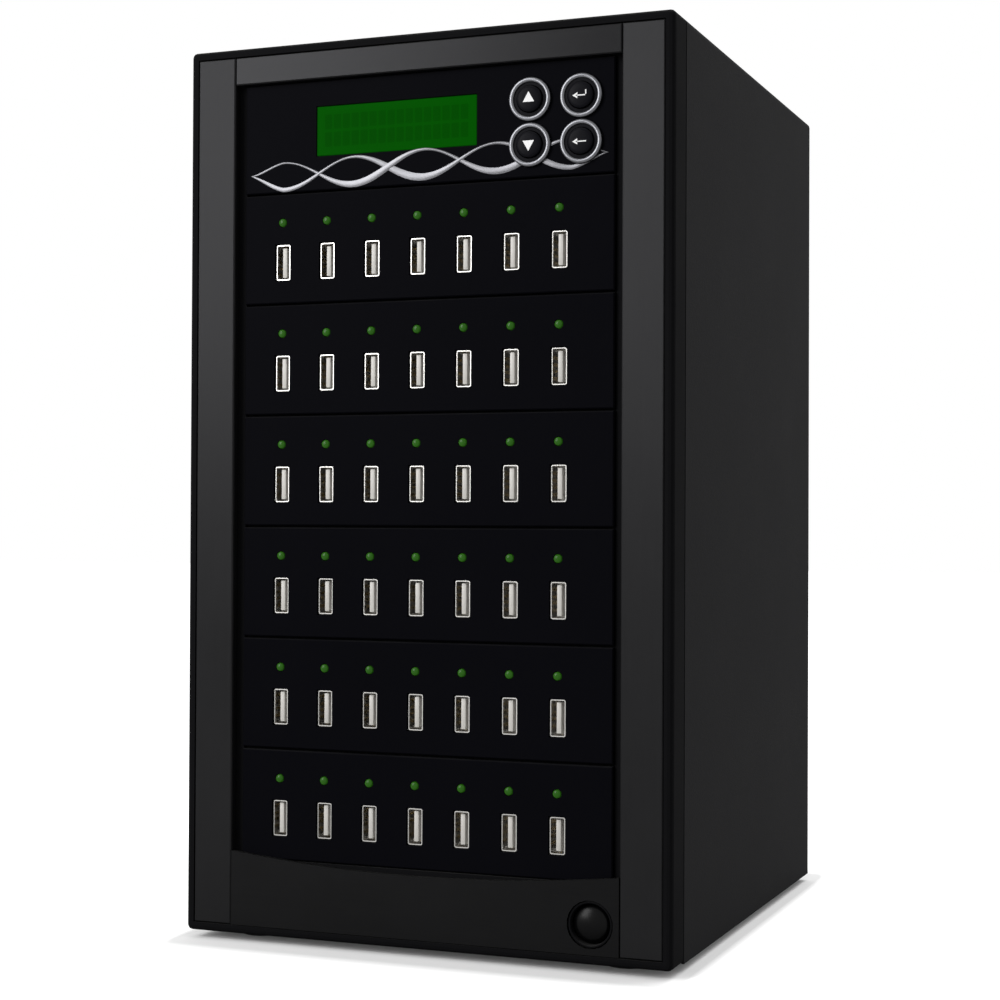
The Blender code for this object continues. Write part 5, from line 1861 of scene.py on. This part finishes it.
@dataclass
class Fasteners:
    """The cross-slotted screws and the knurled thumbscrews on the rear."""

    head_radius: float = 3 * MM
    head_height: float = 1.9 * MM
    shank_radius: float = 1.6 * MM
    fan_head_radius: float = 3.5 * MM
    fan_screw_reach: float = 2.1 * MM
    thumb_radius: float = 5.5 * MM
    thumb_height: float = 5 * MM
    knurl_depth: float = 0.35 * MM
    knurl_sides: int = 56
    head_sides: int = 40
    head_soft: float = 0.15 * MM
    head_dome: tuple[tuple[float, float], ...] = (  # shares of the head's radius and height
        (1, 0.35), (0.95, 0.62), (0.84, 0.82), (0.66, 0.94), (0.4, 0.99), (0, 1),
    )
    recess_depth: float = 1.2 * MM
    recess_share: float = 0.6  # of the head's radius
    recess_half: float = 0.45 * MM
    recess_soft: float = 0.15 * MM
    neck: tuple[float, float] = (4.3 * MM, 0.6 * MM)  # the thumbscrew's neck: radius and height
    shoulder_radius: float = 5.0 * MM
    shoulder_height: float = 1.0 * MM
    crown_soft: float = 0.5 * MM
    dish: tuple[float, float, float] = (3.6 * MM, 3.3 * MM, 0.25 * MM)  # its two radii and depth
    slot_size: tuple[float, float, float] = (3.1 * MM, 1.5 * MM, 0.55 * MM)  # half, depth, half
    fans: tuple[RearFan, ...] = ()

    def build(self, fitter: Fitter) -> None:
        """Model one screw of each kind and copy it to its places.

        Args:
            fitter: fixes the pieces.
        """
        low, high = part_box("psu_screw_1")
        screw = self._screw("screw_model", self.head_radius, high.y - low.y - self.head_height)
        for number in range(1, 5):
            self._set(fitter, screw, "psu_screw", number, self.head_height)
        low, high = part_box("cover_thumbscrew_1")
        thumb = self._thumbscrew("thumb_model", high.y - low.y - self.thumb_height)
        for number in range(1, 5):
            self._set(fitter, thumb, "cover_thumbscrew", number, self.thumb_height)
        wide = self._screw("fan_screw_model", self.fan_head_radius, self.fan_screw_reach)
        for fan in self.fans:
            self._set_fan(fitter, wide, fan)
        for model in (screw, thumb, wide):
            bpy.data.objects.remove(model, do_unlink=True)

    @staticmethod
    def _set(fitter: Fitter, model: bpy.types.Object, node: str, number: int, height: float) -> None:
        """Copy a model to where a CAD node is, its head level with the node's.

        Args:
            fitter: fixes the pieces.
            model: the model, its head's underside at the origin.
            node: the CAD node's name without its number.
            number: its number.
            height: the head's height.
        """
        low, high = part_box(f"{node}_{number}")
        middle = (low + high) / 2
        piece = Workshop.copy(model, f"fitted_{node}_{number}", (middle.x, high.y - height, middle.z))
        fitter.fit(piece, "nickel", replaces=(f"{node}_{number}",))

    @staticmethod
    def _set_fan(fitter: Fitter, model: bpy.types.Object, fan: RearFan) -> None:
        """Copy a screw into each of a fan guard's four eyes.

        Args:
            fitter: fixes the pieces.
            model: the model to copy.
            fan: the fan.
        """
        low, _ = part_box(f"{fan.prefix}_fan_guard")
        frame_low, frame_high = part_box(f"{fan.prefix}_fan_frame")
        middle = (frame_low + frame_high) / 2
        y = low.y + fan.layer + fan.wire
        for number, spot in enumerate(fan.eye_places(middle, y), 1):
            piece = Workshop.copy(model, f"{fan.prefix}_fan_screw_{number}", spot)
            fitter.fit(piece, "nickel")

    def _cross(self, length: float, top: float) -> list[bpy.types.Object]:
        """Two crossed cutters for a screw's recess.

        Args:
            length: half of a cutter's length.
            top: the head's height.

        Returns:
            The cutters.
        """
        half, low, high = self.recess_half, top - self.recess_depth, top + MM
        return [
            Workshop.block("cross", (-wide, low, -tall), (wide, high, tall), self.recess_soft, 1)
            for wide, tall in ((length, half), (half, length))
        ]

    def _screw(self, name: str, radius: float, reach: float) -> bpy.types.Object:
        """A domed screw with a cross recess, its head's underside at the origin.

        Args:
            name: the piece's name.
            radius: the head's radius.
            reach: how far the shank goes in.

        Returns:
            The piece.
        """
        top, shank, soft = self.head_height, self.shank_radius, self.head_soft
        profile = [(0, -reach), (shank, -reach), (shank, 0), (radius - soft, 0), (radius, soft)]
        profile += [(radius * share, top * level) for share, level in self.head_dome]
        screw = Workshop.turned(name, profile, (0, 0, 0), self.head_sides)
        return Workshop.cut(screw, self._cross(self.recess_share * radius, top))

    def _thumbscrew(self, name: str, reach: float) -> bpy.types.Object:
        """A knurled head on a narrow neck, slotted for a driver.

        Args:
            name: the piece's name.
            reach: how far the shank goes in.

        Returns:
            The piece.
        """
        top, outer, shank = self.thumb_height, self.thumb_radius, self.shank_radius
        neck, lower = self.neck
        wide, narrow, dish = self.dish
        profile = [(0, -reach), (shank, -reach), (shank, 0), (neck, 0), (neck, lower)]
        profile += [(self.shoulder_radius, lower), (outer, self.shoulder_height)]
        profile += [(outer, top - self.crown_soft), (self.shoulder_radius, top), (wide, top)]
        profile += [(narrow, top - dish), (0, top - dish)]
        head = Workshop.turned(name, profile, (0, 0, 0), self.knurl_sides)
        for spot in head.data.vertices:
            radius = math.hypot(spot.co.x, spot.co.z)
            step = round(math.atan2(spot.co.z, spot.co.x) / math.tau * self.knurl_sides)
            if radius > outer - WELD_DISTANCE and step % 2:
                spot.co.x *= 1 - self.knurl_depth / outer
                spot.co.z *= 1 - self.knurl_depth / outer
        length, depth, half = self.slot_size
        slot = Workshop.block("slot", (-length, top - depth, -half), (length, top + MM, half))
        return Workshop.cut(head, [slot])


@dataclass
class MainsFittings:
    """The mains inlet with its metal pins, and the rocker with its two marks."""

    flange: float = 2 * MM
    flange_thickness: float = 1.5 * MM
    recess_half: float = 12 * MM
    recess_rise: float = 8.25 * MM
    recess_depth: float = 16 * MM
    recess_chamfer: float = 4 * MM
    pin_half: float = 1 * MM
    pin_rise: float = 2 * MM
    pin_length: float = 14 * MM
    pin_places: tuple[tuple[float, float], ...] = ((-7 * MM, -2 * MM), (0, 2 * MM), (7 * MM, -2 * MM))
    rocker_half: float = 6.5 * MM
    rocker_rise: float = 9.5 * MM
    rocker_thickness: float = 5.5 * MM
    pivot_depth: float = 4.5 * MM
    swing: float = math.radians(8)
    mark_proud: float = 0.08 * MM
    mark_sink: float = 0.2 * MM
    ring_radii: tuple[float, float] = (1.35 * MM, 1.8 * MM)
    ring_sides: int = 40
    bar_half: float = 0.24 * MM
    bar_rise: float = 1.8 * MM
    bar_soft: float = 0.06 * MM
    rim_corner: float = 1.2 * MM
    rim_soft: float = 0.35 * MM
    pin_soft: float = 0.45 * MM
    pin_sink: float = 0.5 * MM
    paddle_soft: float = 0.45 * MM

    def build(self, fitter: Fitter) -> None:
        """Model the inlet, its pins, the rocker and its marks.

        Args:
            fitter: fixes the pieces.
        """
        low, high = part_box("mains_inlet")
        middle = (low + high) / 2
        face = Vector((middle.x, high.y, middle.z))
        housing = self._housing(low, high, face)
        fitter.fit(housing, "moulded_black", replaces=("mains_inlet",))
        fitter.fit(self._pins(face), "nickel")
        frame_low, frame_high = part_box("rocker_frame")
        middle = (frame_low + frame_high) / 2
        pivot = Vector((middle.x, frame_high.y - self.pivot_depth, middle.z))
        rest = Matrix.Translation(pivot) @ Matrix.Rotation(self.swing, 4, "X")
        paddle = self._paddle()
        paddle.data.transform(rest)
        fitter.fit(paddle, "polished_black", Body.ROCKER, ("rocker_switch",))
        for name, mark, side in (("mark_off", self._off_mark(), 1), ("mark_on", self._on_mark(), -1)):
            lift = self.rocker_thickness / 2 + 0.5 * self.rocker_rise * math.tan(self.swing)
            spot = Matrix.Translation((0, lift, side * self.rocker_rise / 2))
            mark.data.transform(rest @ spot @ Matrix.Rotation(-side * self.swing, 4, "X"))
            mark.name = name
            fitter.fit(mark, "sign_white", Body.ROCKER)

    def _housing(self, low: Vector, high: Vector, face: Vector) -> bpy.types.Object:
        """The moulded body, its rim and its recess with two corners cut off.

        Args:
            low: the CAD node's lowest corner.
            high: its highest corner.
            face: the middle of the inlet's rear face.

        Returns:
            The piece.
        """
        inset, lap = self.flange, self.flange_thickness / 2
        core_low = (low.x + inset, low.y, low.z + inset)
        core_high = (high.x - inset, high.y - lap, high.z - inset)
        body = Workshop.block("inlet_housing", core_low, core_high)
        rim = Workshop.block("rim", (low.x, high.y - self.flange_thickness, low.z), tuple(high))
        Workshop.round_along(rim, 1, self.rim_corner, 4)
        Workshop.soften(rim, self.rim_soft, 3)
        Workshop.cut(body, [rim], "UNION")
        half, rise = self.recess_half, self.recess_rise
        deep = (face.x - half, face.y - self.recess_depth, face.z - rise)
        recess = Workshop.block("recess", deep, (face.x + half, face.y + MM, face.z + rise))
        Workshop.round_along(recess, 1, self.recess_chamfer, 1, above=face.z)
        return Workshop.cut(body, [recess])

    def _pins(self, face: Vector) -> bpy.types.Object:
        """Three flat blades with tapered tips.

        Args:
            face: the middle of the inlet's rear face.

        Returns:
            The piece.
        """
        floor = face.y - self.recess_depth - self.pin_sink
        tip = floor + self.pin_length + self.pin_sink
        half, rise = self.pin_half, self.pin_rise
        pins = []
        for number, (x, z) in enumerate(self.pin_places):
            low = (face.x + x - half, floor, face.z + z - rise)
            high = (face.x + x + half, tip, face.z + z + rise)
            pins.append(Workshop.block(f"pin_{number}", low, high, self.pin_soft, 3))
        return Workshop.joined("inlet_pins", pins)

    def _paddle(self) -> bpy.types.Object:
        """The rocker about its pivot: two faces that slope up to its ends, with soft edges.

        Returns:
            The piece.
        """
        back, front = -self.rocker_thickness / 2, self.rocker_thickness / 2
        rise = self.rocker_rise
        crown = front + rise * math.tan(self.swing)
        outline = [(back, -rise), (crown, -rise), (front, 0), (crown, rise), (back, rise)]
        paddle = Workshop.prism("rocker_paddle", outline, -self.rocker_half, self.rocker_half)
        return Workshop.soften(paddle, self.paddle_soft, 3)

    def _off_mark(self) -> bpy.types.Object:
        """A thin round ring that faces the rear, about the origin.

        Returns:
            The piece.
        """
        (bore, outer), sunk, proud = self.ring_radii, -self.mark_sink, self.mark_proud
        profile = [(bore, sunk), (outer, sunk), (outer, proud), (bore, proud), (bore, sunk)]
        return Workshop.turned("mark_off", profile, (0, 0, 0), self.ring_sides)

    def _on_mark(self) -> bpy.types.Object:
        """A short upright bar that faces the rear, about the origin.

        Returns:
            The piece.
        """
        half, rise = self.bar_half, self.bar_rise
        low, high = (-half, -self.mark_sink, -rise), (half, self.mark_proud, rise)
        return Workshop.block("mark_on", low, high, self.bar_soft, 1)


def main() -> None:
    """Build the scene: the frame, the studio, then each sub-assembly in order."""
    logging.basicConfig(level=logging.INFO, format="%(message)s")
    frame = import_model()
    Studio().build()
    shelf = FinishShelf()
    CadDressing().build(frame["nodes"], shelf)
    plan = Plan()
    fitter = Fitter(shelf)
    fans = (RearFan("case", Body.CASE_FAN), RearFan("psu", Body.SUPPLY_FAN))
    sub_assemblies = (
        PortRows(plan),
        GrooveShadeStrips(plan),
        ControlButtons(),
        Ribbons(plan),
        PowerButton(),
        DisplayCells(),
        *fans,
        Fasteners(fans=fans),
        MainsFittings(),
    )
    for sub_assembly in sub_assemblies:
        sub_assembly.build(fitter)
        LOG.info("%s done", type(sub_assembly).__name__)


if __name__ == "__main__":
    main()
